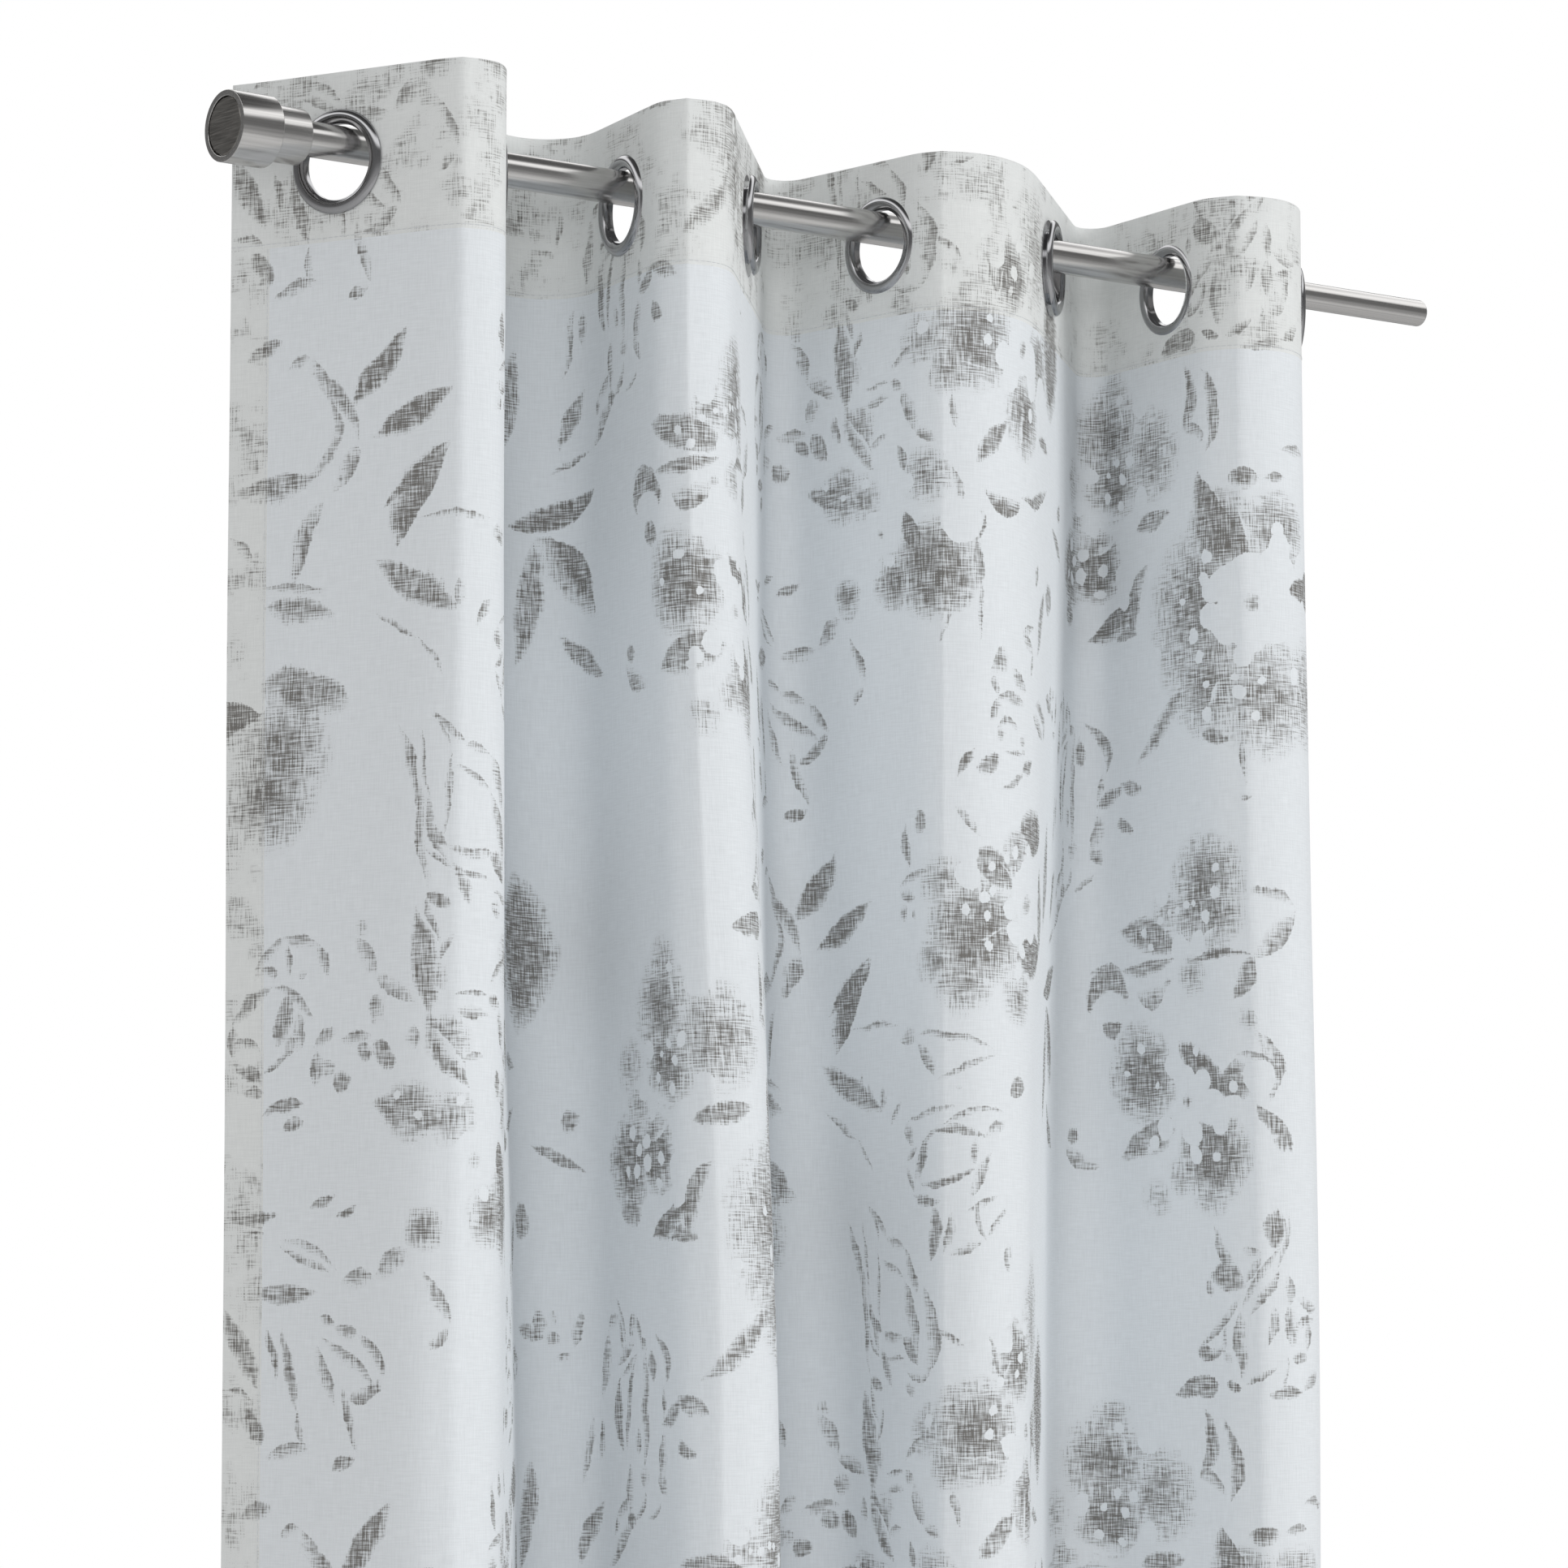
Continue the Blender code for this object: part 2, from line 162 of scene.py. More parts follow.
# Ink levels: the second shade, the flowers' eyes, and the print of a layer behind
MIDDLE_INK = 0.78
EYE_INK = 0.6
GHOST_INK = 0.42
# The blots of the print behind: how often they change per millimetre, and the levels where they begin and fill
GHOST_SCALE = 0.035
GHOST_FROM = 0.46
GHOST_FULL = 0.66
# Each waver of the print's edges: how often it changes per millimetre and how far it reaches in millimetres
WAVERS = ((0.045, 4.0), (0.35, 1.1))
# How often the warp's and the weft's streaks change across and down, per millimetre
WARP_STREAK = (1.25, 0.08, 0.0)
WEFT_STREAK = (0.08, 1.25, 0.0)
HATCH_REACH = 3.0
INK_FROM = 0.15
INK_FULL = 1.25
INK_FADE = 0.25
SLUB_REACH = 0.16
BUMP_STRENGTH = 0.25
BUMP_DEPTH = 0.0004

# Metals: colour and roughness. Brushed ones add how far brushing changes these, and how often along each axis
# per metre.
STEEL = ((0.56, 0.55, 0.54), 0.20, 0.14, (3.0, 900.0, 900.0))
DARK_STEEL = ((0.26, 0.25, 0.235), 0.38, 0.25, (60.0, 60.0, 1200.0))
SCREW_STEEL = ((0.20, 0.20, 0.20), 0.35)
DARK_CHROME = ((0.40, 0.40, 0.41), 0.10)
HAZE_SCALE = 60.0
HAZE_DETAIL = 4.0
HAZE_REACH = (0.7, 1.5)
STREAK_DETAIL = 3.0
# The levels between which most of a noise lies
NOISE_LOW = 0.3
NOISE_HIGH = 0.7

CAMERA_AT = (-1.9976, -2.4716, -0.6405)
CAMERA_TURN = math.radians(-38.06)
CAMERA_PITCH = math.radians(5.79)
CAMERA_LENS = 130.2
SENSOR = 36.0
FLOOR_BELOW_HEM = 0.015
FLOOR_SIZE = 12.0
# Each light's place, what it faces, its side in metres and its power in watts
LIGHTS = {
    "key": ((3.2, -4.6, 1.2), (0.0, 0.0, -0.6), 2.2, 104.0),
    "fill": ((-2.2, -3.4, -0.2), (0.0, 0.0, -0.8), 1.8, 25.0),
}
MATT_LIGHT = 0.55
# What metal mirrors at each height of the sky, from straight down to straight up
MIRROR_BANDS = (
    (-1.0, 0.62),
    (-0.25, 0.48),
    (0.05, 0.22),
    (0.40, 0.16),
    (0.52, 1.5),
    (0.66, 1.5),
    (0.78, 0.12),
    (1.0, 0.08),
)

# Pressed creases: how far each is from the left edge, and how far beside it the cloth is flat
CREASES = (0.144, 0.510, 0.867, 1.256)
CREASE_FLAT = 0.010


# ---------------------------------------------------------------- how the cloth hangs


def smooth(t):
    """A smooth step from 0 to 1."""
    t = np.clip(t, 0.0, 1.0)
    return t * t * (3.0 - 2.0 * t)


def turning(start, end, sharpness, skew):
    """The headings from one eyelet to the next, a plan step apart. A skew below 1 turns early."""
    steps = round(EYELET_PITCH / PLAN_STEP)
    u = (np.arange(steps) + 0.5) * PLAN_STEP
    share = np.clip((u - FLAT_AT_EYELET) / (EYELET_PITCH - 2 * FLAT_AT_EYELET), 0.0, 1.0)
    return start + (end - start) * smooth((share**skew - 0.5) * sharpness + 0.5)


def span_headings(start, end, sharpness):
    """The headings between two eyelets, with the skew that brings the cloth back to the rod's line."""
    early, late = 0.2, 5.0
    for _ in range(50):
        skew = math.sqrt(early * late)
        too_early = float(np.sum(np.sin(turning(start, end, sharpness, skew)))) * (end - start) > 0.0
        early, late = (skew, late) if too_early else (early, skew)
    return turning(start, end, sharpness, skew)


def pressed(heading):
    """The headings with a crease at each place in CREASES: flat beside it and all the turn in the crease."""
    u = (np.arange(len(heading)) + 0.5) * PLAN_STEP
    creased = heading.copy()
    for crease in CREASES:
        before = (u > crease - CREASE_FLAT) & (u <= crease)
        after = (u > crease) & (u < crease + CREASE_FLAT)
        creased[before] = heading[before][0]
        creased[after] = heading[after][-1]
    return creased


def heading_along(headings, sharpness):
    """The cloth's heading, in radians, at each plan step from the left edge to the right edge."""
    angles = [math.radians(heading) for heading in headings]
    left_edge, right_edge = (math.radians(edge) for edge in EDGE_HEADINGS)
    steps = round(SIDE_MARGIN / PLAN_STEP)
    from_eyelet = (np.arange(steps) + 0.5) * PLAN_STEP
    bend = smooth((from_eyelet - FLAT_AT_EYELET) / (SIDE_MARGIN - FLAT_AT_EYELET))
    left = angles[0] + (left_edge - angles[0]) * bend[::-1]
    right = angles[-1] + (right_edge - angles[-1]) * bend
    spans = [
        span_headings(angles[i], angles[i + 1], sharpness[i]) for i in range(EYELET_COUNT - 1)
    ]
    return pressed(np.concatenate([left, *spans, right]))


def plan_curve(headings, sharpness, first_from_face):
    """The cloth's centre line in plan as an array of (x, y), one point each plan step."""
    heading = heading_along(headings, sharpness)
    x = np.concatenate([[0.0], np.cumsum(np.cos(heading)) * PLAN_STEP])
    y = np.concatenate([[0.0], np.cumsum(np.sin(heading)) * PLAN_STEP])
    u = np.arange(len(x)) * PLAN_STEP
    x += FACE_X + first_from_face - np.interp(SIDE_MARGIN, u, x)
    y -= np.interp(SIDE_MARGIN, u, y)
    return np.stack([x, y], axis=1)


def eyelet_u(index):
    """Where an eyelet sits along the width of the flat cloth. The first has index 0."""
    return SIDE_MARGIN + index * EYELET_PITCH


class Drape:
    """Where the hung cloth lies: u runs along its width from the left edge, v down from its top edge."""

    def __init__(self):
        self.header = plan_curve(HEADER_HEADINGS, HEADER_SHARPNESS, FIRST_EYELET_FROM_FACE)
        self.lower = plan_curve(LOWER_HEADINGS, LOWER_SHARPNESS, LOWER_FIRST_FROM_FACE)
        self.u = np.arange(len(self.header)) * PLAN_STEP

    def plan(self, u, v):
        """The (x, y) of points at u and v, which are arrays of one shape."""
        even = smooth((v - HEADER_DEPTH) / (EVEN_FROM_TOP - HEADER_DEPTH))
        header = [np.interp(u, self.u, self.header[:, i]) for i in (0, 1)]
        lower = [np.interp(u, self.u, self.lower[:, i]) for i in (0, 1)]
        return np.stack([h * (1.0 - even) + low * even for h, low in zip(header, lower)], axis=-1)

    def points(self, u, v, offset):
        """The points at u and v, moved by offset towards the window side. All are arrays of one shape."""
        reach = 2 * PLAN_STEP
        before = self.plan(np.maximum(u - reach, 0.0), v)
        after = self.plan(np.minimum(u + reach, FLAT_WIDTH), v)
        along = after - before
        along /= np.linalg.norm(along, axis=-1, keepdims=True)
        normal = np.stack([-along[..., 1], along[..., 0]], axis=-1)
        shift = offset + ripple(u, v)
        place = self.plan(u, v) + normal * shift[..., None]
        return np.concatenate([place, (TOP_ABOVE_ROD - v)[..., None]], axis=-1)


def ripple(u, v):
    """How far the cloth stands off its even folds: shallow, mostly upright waves below the header."""
    free = smooth((v - HEADER_DEPTH) / 0.25)
    slow = np.sin(23.0 * u + 3.1 * v + 0.4) * np.cos(5.3 * v + 1.7 + 9.0 * u)
    fine = np.sin(61.0 * u - 4.3 * v + 1.1) * np.sin(11.0 * v + 14.0 * u)
    return free * (0.0011 * slow + 0.0005 * fine)


# ---------------------------------------------------------------- meshes


def add_mesh(name, points, faces, uv=None):
    """A smooth-shaded mesh object, with a place on the flat cloth for each point if uv is given."""
    mesh = bpy.data.meshes.new(name)
    mesh.from_pydata([tuple(point) for point in points], [], [tuple(face) for face in faces])
    if uv is not None:
        layer = mesh.uv_layers.new(name=CLOTH_UV)
        loops = np.zeros(len(mesh.loops), np.int32)
        mesh.loops.foreach_get("vertex_index", loops)
        layer.data.foreach_set("uv", np.asarray(uv, np.float32)[loops].ravel())
    mesh.shade_smooth()
    item = bpy.data.objects.new(name, mesh)
    bpy.context.scene.collection.objects.link(item)
    return item


def grid_faces(rows, across, closed=False):
    """The four-sided faces of a grid of points, row after row. A closed grid's last row meets its first."""
    return [
        (
            row * across + i,
            (row + 1) % rows * across + i,
            (row + 1) % rows * across + i + 1,
            row * across + i + 1,
        )
        for row in range(rows if closed else rows - 1)
        for i in range(across - 1)
    ]


# ---------------------------------------------------------------- cloth pieces


def columns(start, end):
    """Places along the width, about a column apart, with one at each crease."""
    places = np.linspace(start, end, round((end - start) / COLUMN) + 1)
    for crease in CREASES:
        if start < crease < end:
            places[np.argmin(np.abs(places - crease))] = crease
    return places


def rows(start, end, spacing):
    """Places down the cloth, about the given spacing apart."""
    return np.linspace(start, end, round(abs(end - start) / spacing) + 1)


def flat_grid(u, v):
    """The (u, v) of a grid of places on the cloth, row after row."""
    return np.stack(np.meshgrid(u, v), axis=-1).reshape(-1, 2)


def hole_v(index):
    """How far below the top edge an eyelet's centre is."""
    low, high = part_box(f"eyelet_{index + 1}_front")
    return TOP_ABOVE_ROD - (low.z + high.z) / 2


def without_holes(flat, faces):
    """The places with those round each eyelet drawn onto its circle, and the faces outside the circles."""
    flat = flat.copy()
    faces = np.array(faces)
    for index in range(EYELET_COUNT):
        centre = np.array([eyelet_u(index), hole_v(index)])
        kept = np.linalg.norm(flat[faces].mean(axis=1) - centre, axis=1) > CLOTH_HOLE_RADIUS
        edge = np.intersect1d(faces[kept], faces[~kept])
        away = flat[edge] - centre
        flat[edge] = centre + away * CLOTH_HOLE_RADIUS / np.linalg.norm(away, axis=1, keepdims=True)
        faces = faces[kept]
    return flat, faces


def loose_points_dropped(item):
    """Takes out the points that no face uses."""
    shape = bmesh.new()
    shape.from_mesh(item.data)
    bmesh.ops.delete(shape, geom=[point for point in shape.verts if not point.link_faces], context="VERTS")
    shape.to_mesh(item.data)
    shape.free()


def make_curtain(drape):
    """The printed cloth: up the header's facing, over the top fold and down the front to the hem."""
    over = np.linspace(0.0, math.pi, TOP_FOLD_STEPS + 1)
    down_facing = rows(HEADER_DEPTH, TOP_FOLD, HEADER_ROW)
    down_front = np.concatenate(
        [rows(TOP_FOLD, HEADER_DEPTH, HEADER_ROW), rows(HEADER_DEPTH, DROP, ROW)[1:]]
    )
    v = np.concatenate([down_facing, TOP_FOLD * (1.0 - np.sin(over[1:-1])), down_front])
    offset = np.concatenate(
        [
            np.full(len(down_facing), FACING_OFFSET),
            TOP_FOLD * (1.0 + np.cos(over[1:-1])),
            np.zeros(len(down_front)),
        ]
    )
    side = np.where(offset > TOP_FOLD, -1.0, 1.0)
    u = columns(0.0, FLAT_WIDTH)
    flat, faces = without_holes(flat_grid(u, v), grid_faces(len(v), len(u)))
    points = drape.points(flat[:, 0], flat[:, 1], np.repeat(offset, len(u)))
    printed = np.stack([flat[:, 0], flat[:, 1] * np.repeat(side, len(u))], axis=1)
    curtain = add_mesh("curtain", points, faces, printed)
    loose_points_dropped(curtain)
    return curtain


def turned_behind(across, down):
    """How the layer behind a point of the cloth is turned over, across and down. None if there is none."""
    if down < HEADER_DEPTH:
        return (1.0, -1.0)
    return (-1.0, 1.0) if across < SIDE_HEM or across > FLAT_WIDTH - SIDE_HEM else None


def make_header_tape(drape):
    """The stiff tape between the header's two layers."""
    u = columns(TOP_FOLD, FLAT_WIDTH - TOP_FOLD)
    v = rows(2 * TOP_FOLD, HEADER_DEPTH - TOP_FOLD, HEADER_ROW)
    flat, faces = without_holes(flat_grid(u, v), grid_faces(len(v), len(u)))
    offset = np.full(len(flat), STIFFENER_OFFSET)
    tape = add_mesh("header_tape", drape.points(flat[:, 0], flat[:, 1], offset), faces, flat)
    loose_points_dropped(tape)
    return tape


def make_side_hem(name, drape, edge, inner):
    """A side hem: the cloth folded over at the edge onto the window side, as far as the inner line."""
    way = 1.0 if inner > edge else -1.0
    across = np.concatenate([[0.0, HEM_FOLD / 3], rows(HEM_FOLD, abs(inner - edge), COLUMN)])
    lift = HEM_OFFSET * smooth(across / HEM_FOLD)
    v = rows(HEADER_DEPTH + HEM_GAP, DROP, ROW)
    flat = flat_grid(edge + way * across, v)
    points = drape.points(flat[:, 0], flat[:, 1], np.tile(lift, len(v)))
    printed = np.stack([2 * edge - flat[:, 0], flat[:, 1]], axis=1)
    return add_mesh(name, points, grid_faces(len(v), len(across)), printed)


def make_lower_hem(drape):
    """The bottom hem: the cloth folded over at its lower edge onto the window side, between the side hems."""
    u = columns(SIDE_HEM + HEM_GAP, FLAT_WIDTH - SIDE_HEM - HEM_GAP)
    up = np.concatenate([[0.0, HEM_FOLD / 3], rows(HEM_FOLD, BOTTOM_HEM, ROW)])
    flat = flat_grid(u, DROP - up)
    lift = HEM_OFFSET * smooth(up / HEM_FOLD)
    points = drape.points(flat[:, 0], flat[:, 1], np.repeat(lift, len(u)))
    printed = np.stack([flat[:, 0], 2 * DROP - flat[:, 1]], axis=1)
    return add_mesh("lower_hem", points, grid_faces(len(up), len(u)), printed)


def stitch_ends(start, end):
    """The (u, v) of the two ends of each stitch on a straight seam."""
    start, end = np.array(start), np.array(end)
    length = np.linalg.norm(end - start)
    along = (end - start) / length
    first = np.arange(0.0, length - STITCH_PITCH, STITCH_PITCH)[:, None]
    return start + along * first, start + along * (first + STITCH_LENGTH)


def stitch_row(drape, seam, offset):
    """The points and faces of a row of stitches, each a thread that comes up, lies flat and goes in."""
    sides = np.radians([0.0, 90.0, 180.0, 270.0])
    first, last = stitch_ends(*seam)
    points, faces = [], []
    for share, swell in ((0.0, 0.4), (0.3, 1.0), (0.7, 1.0), (1.0, 0.4)):
        flat = first + (last - first) * share
        middle = drape.points(flat[:, 0], flat[:, 1], np.full(len(flat), offset))
        beside = drape.points(flat[:, 0] + STITCH_RADIUS, flat[:, 1], np.full(len(flat), offset)) - middle
        upright = seam[0][0] == seam[1][0]
        out = np.cross(beside, [0.0, 0.0, 1.0])
        across = beside if upright else np.tile([0.0, 0.0, STITCH_RADIUS], (len(flat), 1))
        for angle in sides:
            points.append(middle + swell * (across * math.cos(angle) + out * math.sin(angle)))
    points = np.stack(points, axis=1)
    ring = len(sides)
    tube = [
        (
            level * ring + i,
            level * ring + (i + 1) % ring,
            (level + 1) * ring + (i + 1) % ring,
            (level + 1) * ring + i,
        )
        for level in range(3)
        for i in range(ring)
    ]
    one = np.array(tube)
    faces = [tuple(face) for start in range(len(points)) for face in one + start * points.shape[1]]
    return points.reshape(-1, 3), faces


def make_stitches(drape):
    """All the thread that shows, on both sides: the header's facing, the side hems and the bottom hem."""
    header_v = HEADER_DEPTH - STITCH_FROM_EDGE
    hem_v = DROP - BOTTOM_HEM + STITCH_FROM_EDGE
    left_u = SIDE_HEM - STITCH_FROM_EDGE
    right_u = FLAT_WIDTH - left_u
    seams = [
        (((0.0, header_v), (FLAT_WIDTH, header_v)), FACING_OFFSET),
        (((left_u, HEADER_DEPTH), (left_u, DROP)), HEM_OFFSET),
        (((right_u, HEADER_DEPTH), (right_u, DROP)), HEM_OFFSET),
        (((left_u, hem_v), (right_u, hem_v)), HEM_OFFSET),
    ]
    points, faces, count = [], [], 0
    for seam, back in seams:
        for offset in (-STITCH_RADIUS / 2, back + STITCH_RADIUS / 2):
            row_points, row_faces = stitch_row(drape, seam, offset)
            points.append(row_points)
            faces += [tuple(corner + count for corner in face) for face in row_faces]
            count += len(row_points)
    return add_mesh("stitches", np.concatenate(points), faces)


# ---------------------------------------------------------------- turned pieces


def eased(profile, reach=CORNER_EASE):
    """A half section with each corner rounded off."""
    points = [np.array(point) for point in profile]
    soft = [points[0]]
    for before, corner, after in zip(points, points[1:], points[2:]):
        back, ahead = before - corner, after - corner
        room = min(reach, 0.45 * np.linalg.norm(back), 0.45 * np.linalg.norm(ahead))
        start = corner + back * room / np.linalg.norm(back)
        end = corner + ahead * room / np.linalg.norm(ahead)
        for t in (0.0, 0.25, 0.5, 0.75, 1.0):
            soft.append(start * (1 - t) ** 2 + corner * 2 * t * (1 - t) + end * t**2)
    soft.append(points[-1])
    return [tuple(point) for point in soft]


def turned(name, profile, steps, closed=False):
    """A half section of (radius, height) points turned about Z."""
    angles = np.arange(steps) * math.tau / steps
    section = np.array([*profile, profile[0]] if closed else profile)
    radius, height = section[:, 0], section[:, 1]
    points = np.stack(
        [
            np.outer(np.cos(angles), radius),
            np.outer(np.sin(angles), radius),
            np.tile(height, (steps, 1)),
        ],
        axis=-1,
    ).reshape(-1, 3)
    item = add_mesh(name, points, grid_faces(steps, len(section), closed=True))
    shape = bmesh.new()
    shape.from_mesh(item.data)
    bmesh.ops.remove_doubles(shape, verts=shape.verts, dist=0.000001)
    bmesh.ops.recalc_face_normals(shape, faces=shape.faces)
    shape.to_mesh(item.data)
    shape.free()
    item.data.set_sharp_from_angle(angle=math.radians(40.0))
    return item


def set_down(item, location, rotation):
    """Moves a piece's mesh to its place, so that the piece itself stays at the origin."""
    item.data.transform(Matrix.LocRotScale(Vector(location), Euler(rotation), None))
    return item


def make_tube(name, bore, radius, start_x, end_x):
    """A plain round tube along X."""
    length = end_x - start_x
    middle = (bore, length / 2)
    profile = [middle, (bore, length), (radius, length), (radius, 0.0), (bore, 0.0), middle]
    return set_down(turned(name, eased(profile), TURNED_STEPS), (start_x, 0.0, 0.0), (0.0, math.pi / 2, 0.0))


def finial_profile():
    """Half section of the finial body, with height 0 at its face and falling towards the rod."""
    recess = DISC_RADIUS + DISC_GROOVE
    floor = -(DISC_SET_BACK + DISC_THICKNESS + HEM_GAP)
    collar_end = -(HEAD_LENGTH + COLLAR_LENGTH)
    return [
        (0.0, floor),
        (recess, floor),
        (recess, 0.0),
        (HEAD_RADIUS, 0.0),
        (HEAD_RADIUS, -HEAD_LENGTH),
        (COLLAR_RADIUS, -HEAD_LENGTH),
        (COLLAR_RADIUS, collar_end),
        (SOCKET_BORE, collar_end),
        (SOCKET_BORE, -SOCKET_FLOOR),
        (0.0, -SOCKET_FLOOR),
    ]


def disc_profile():
    """Half section of the inlaid disc, with height 0 at the finial's face."""
    top = -DISC_SET_BACK
    bottom = top - DISC_THICKNESS
    return [
        (0.0, top),
        (DISC_RADIUS - EDGE_BREAK, top),
        (DISC_RADIUS, top - EDGE_BREAK),
        (DISC_RADIUS, bottom),
        (0.0, bottom),
    ]


def screw_profile():
    """Half section of the grub screw, with height 0 at its outer end and an open drive socket there."""
    return [
        (0.0, -SCREW_SOCKET_DEPTH),
        (SCREW_SOCKET_RADIUS, -SCREW_SOCKET_DEPTH),
        (SCREW_SOCKET_RADIUS, 0.0),
        (GRUB_SCREW_RADIUS, 0.0),
        (GRUB_SCREW_RADIUS, -GRUB_SCREW_LENGTH),
        (0.0, -GRUB_SCREW_LENGTH),
    ]


def make_rod():
    """The outer tube and the thinner tube that slides in it."""
    outer = make_tube("outer_tube", OUTER_TUBE_BORE, OUTER_TUBE_RADIUS, OUTER_TUBE_START_X, OUTER_TUBE_END_X)
    inner = make_tube("inner_tube", INNER_TUBE_BORE, INNER_TUBE_RADIUS, INNER_TUBE_START_X, TUBE_END_X)
    return outer, inner


def make_finial():
    """The finial body, the disc on its face and the grub screw in the window side of its collar."""
    face_at = (FACE_X, 0.0, 0.0)
    facing_left = (0.0, -math.pi / 2, 0.0)
    body = set_down(turned("finial_head", eased(finial_profile()), TURNED_STEPS), face_at, facing_left)
    disc = set_down(turned("finial_inlay", disc_profile(), TURNED_STEPS), face_at, facing_left)
    screw_x = FACE_X + HEAD_LENGTH + COLLAR_LENGTH - GRUB_SCREW_FROM_COLLAR_END
    screw_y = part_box("finial_grub_screw")[1].y
    screw = turned("set_screw", screw_profile(), SCREW_STEPS)
    set_down(screw, (screw_x, screw_y, 0.0), (-math.pi / 2, 0.0, 0.0))
    return body, disc, screw


def bead_arc(start_deg, end_deg, points):
    """Points on the bead's round section between two angles, measured from straight out."""
    angles = np.radians(np.linspace(start_deg, end_deg, points))
    return [
        (BEAD_CIRCLE_RADIUS + BEAD_RADIUS * math.cos(a), BEAD_RADIUS * math.sin(a)) for a in angles
    ]


def eyelet_half_profiles():
    """Half sections of the front half, which carries the barrel, and of the back half around it."""
    seat_angle = math.degrees(math.asin(SEAT / BEAD_RADIUS))
    front = [
        (BARREL_BORE, -BARREL_REACH),
        *bead_arc(180.0 - seat_angle, seat_angle, 25),
        (BARREL_RADIUS, SEAT),
        (BARREL_RADIUS, -BARREL_REACH),
    ]
    back_bore = BARREL_RADIUS + HALF_GAP
    back_angle = math.degrees(math.acos((back_bore - BEAD_CIRCLE_RADIUS) / BEAD_RADIUS))
    back = [(back_bore, -SEAT), *bead_arc(-seat_angle, -back_angle, 21)]
    return front, back


def make_eyelets():
    """The two halves of each eyelet, as (piece, CAD node, number) in turn."""
    halves = []
    for number in range(1, EYELET_COUNT + 1):
        low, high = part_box(f"eyelet_{number}_front")
        back_low, back_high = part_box(f"eyelet_{number}_back")
        lowest = Vector([min(a, b) for a, b in zip(low, back_low)])
        highest = Vector([max(a, b) for a, b in zip(high, back_high)])
        centre = (lowest + highest) / 2
        turn = (math.pi / 2, 0.0, math.radians(HEADER_HEADINGS[number - 1]))
        for half, profile in zip(("front", "back"), eyelet_half_profiles()):
            piece = turned(f"ring_{number}_{half}", profile, EYELET_STEPS, closed=True)
            halves.append((set_down(piece, centre, turn), f"eyelet_{number}_{half}", number))
    return halves


# ---------------------------------------------------------------- the print

# The print repeats along two steps, in millimetres across and down the cloth
REPEAT_ACROSS = (665.0, 250.0)
REPEAT_DOWN = 613.0
# Each zone of the repeat has its own material, which draws only the shapes that reach it
ZONES = (3, 3)
ZONE_SIZE = (REPEAT_ACROSS[0] / ZONES[0], REPEAT_DOWN / ZONES[1])
ZONE_MARGIN = 14.0
CLOUD_SPREAD = 1.18
LEAF_FULLNESS = 1.3
STROKE_FULLNESS = 1.15
SHADING = 1.5
CLOUD_SOFTNESS = 2.2
SMALLEST_BULGE = 0.4
STROKE_EDGE = 1.1
DOT_EDGE = 0.7
EYE_EDGE = 4.0
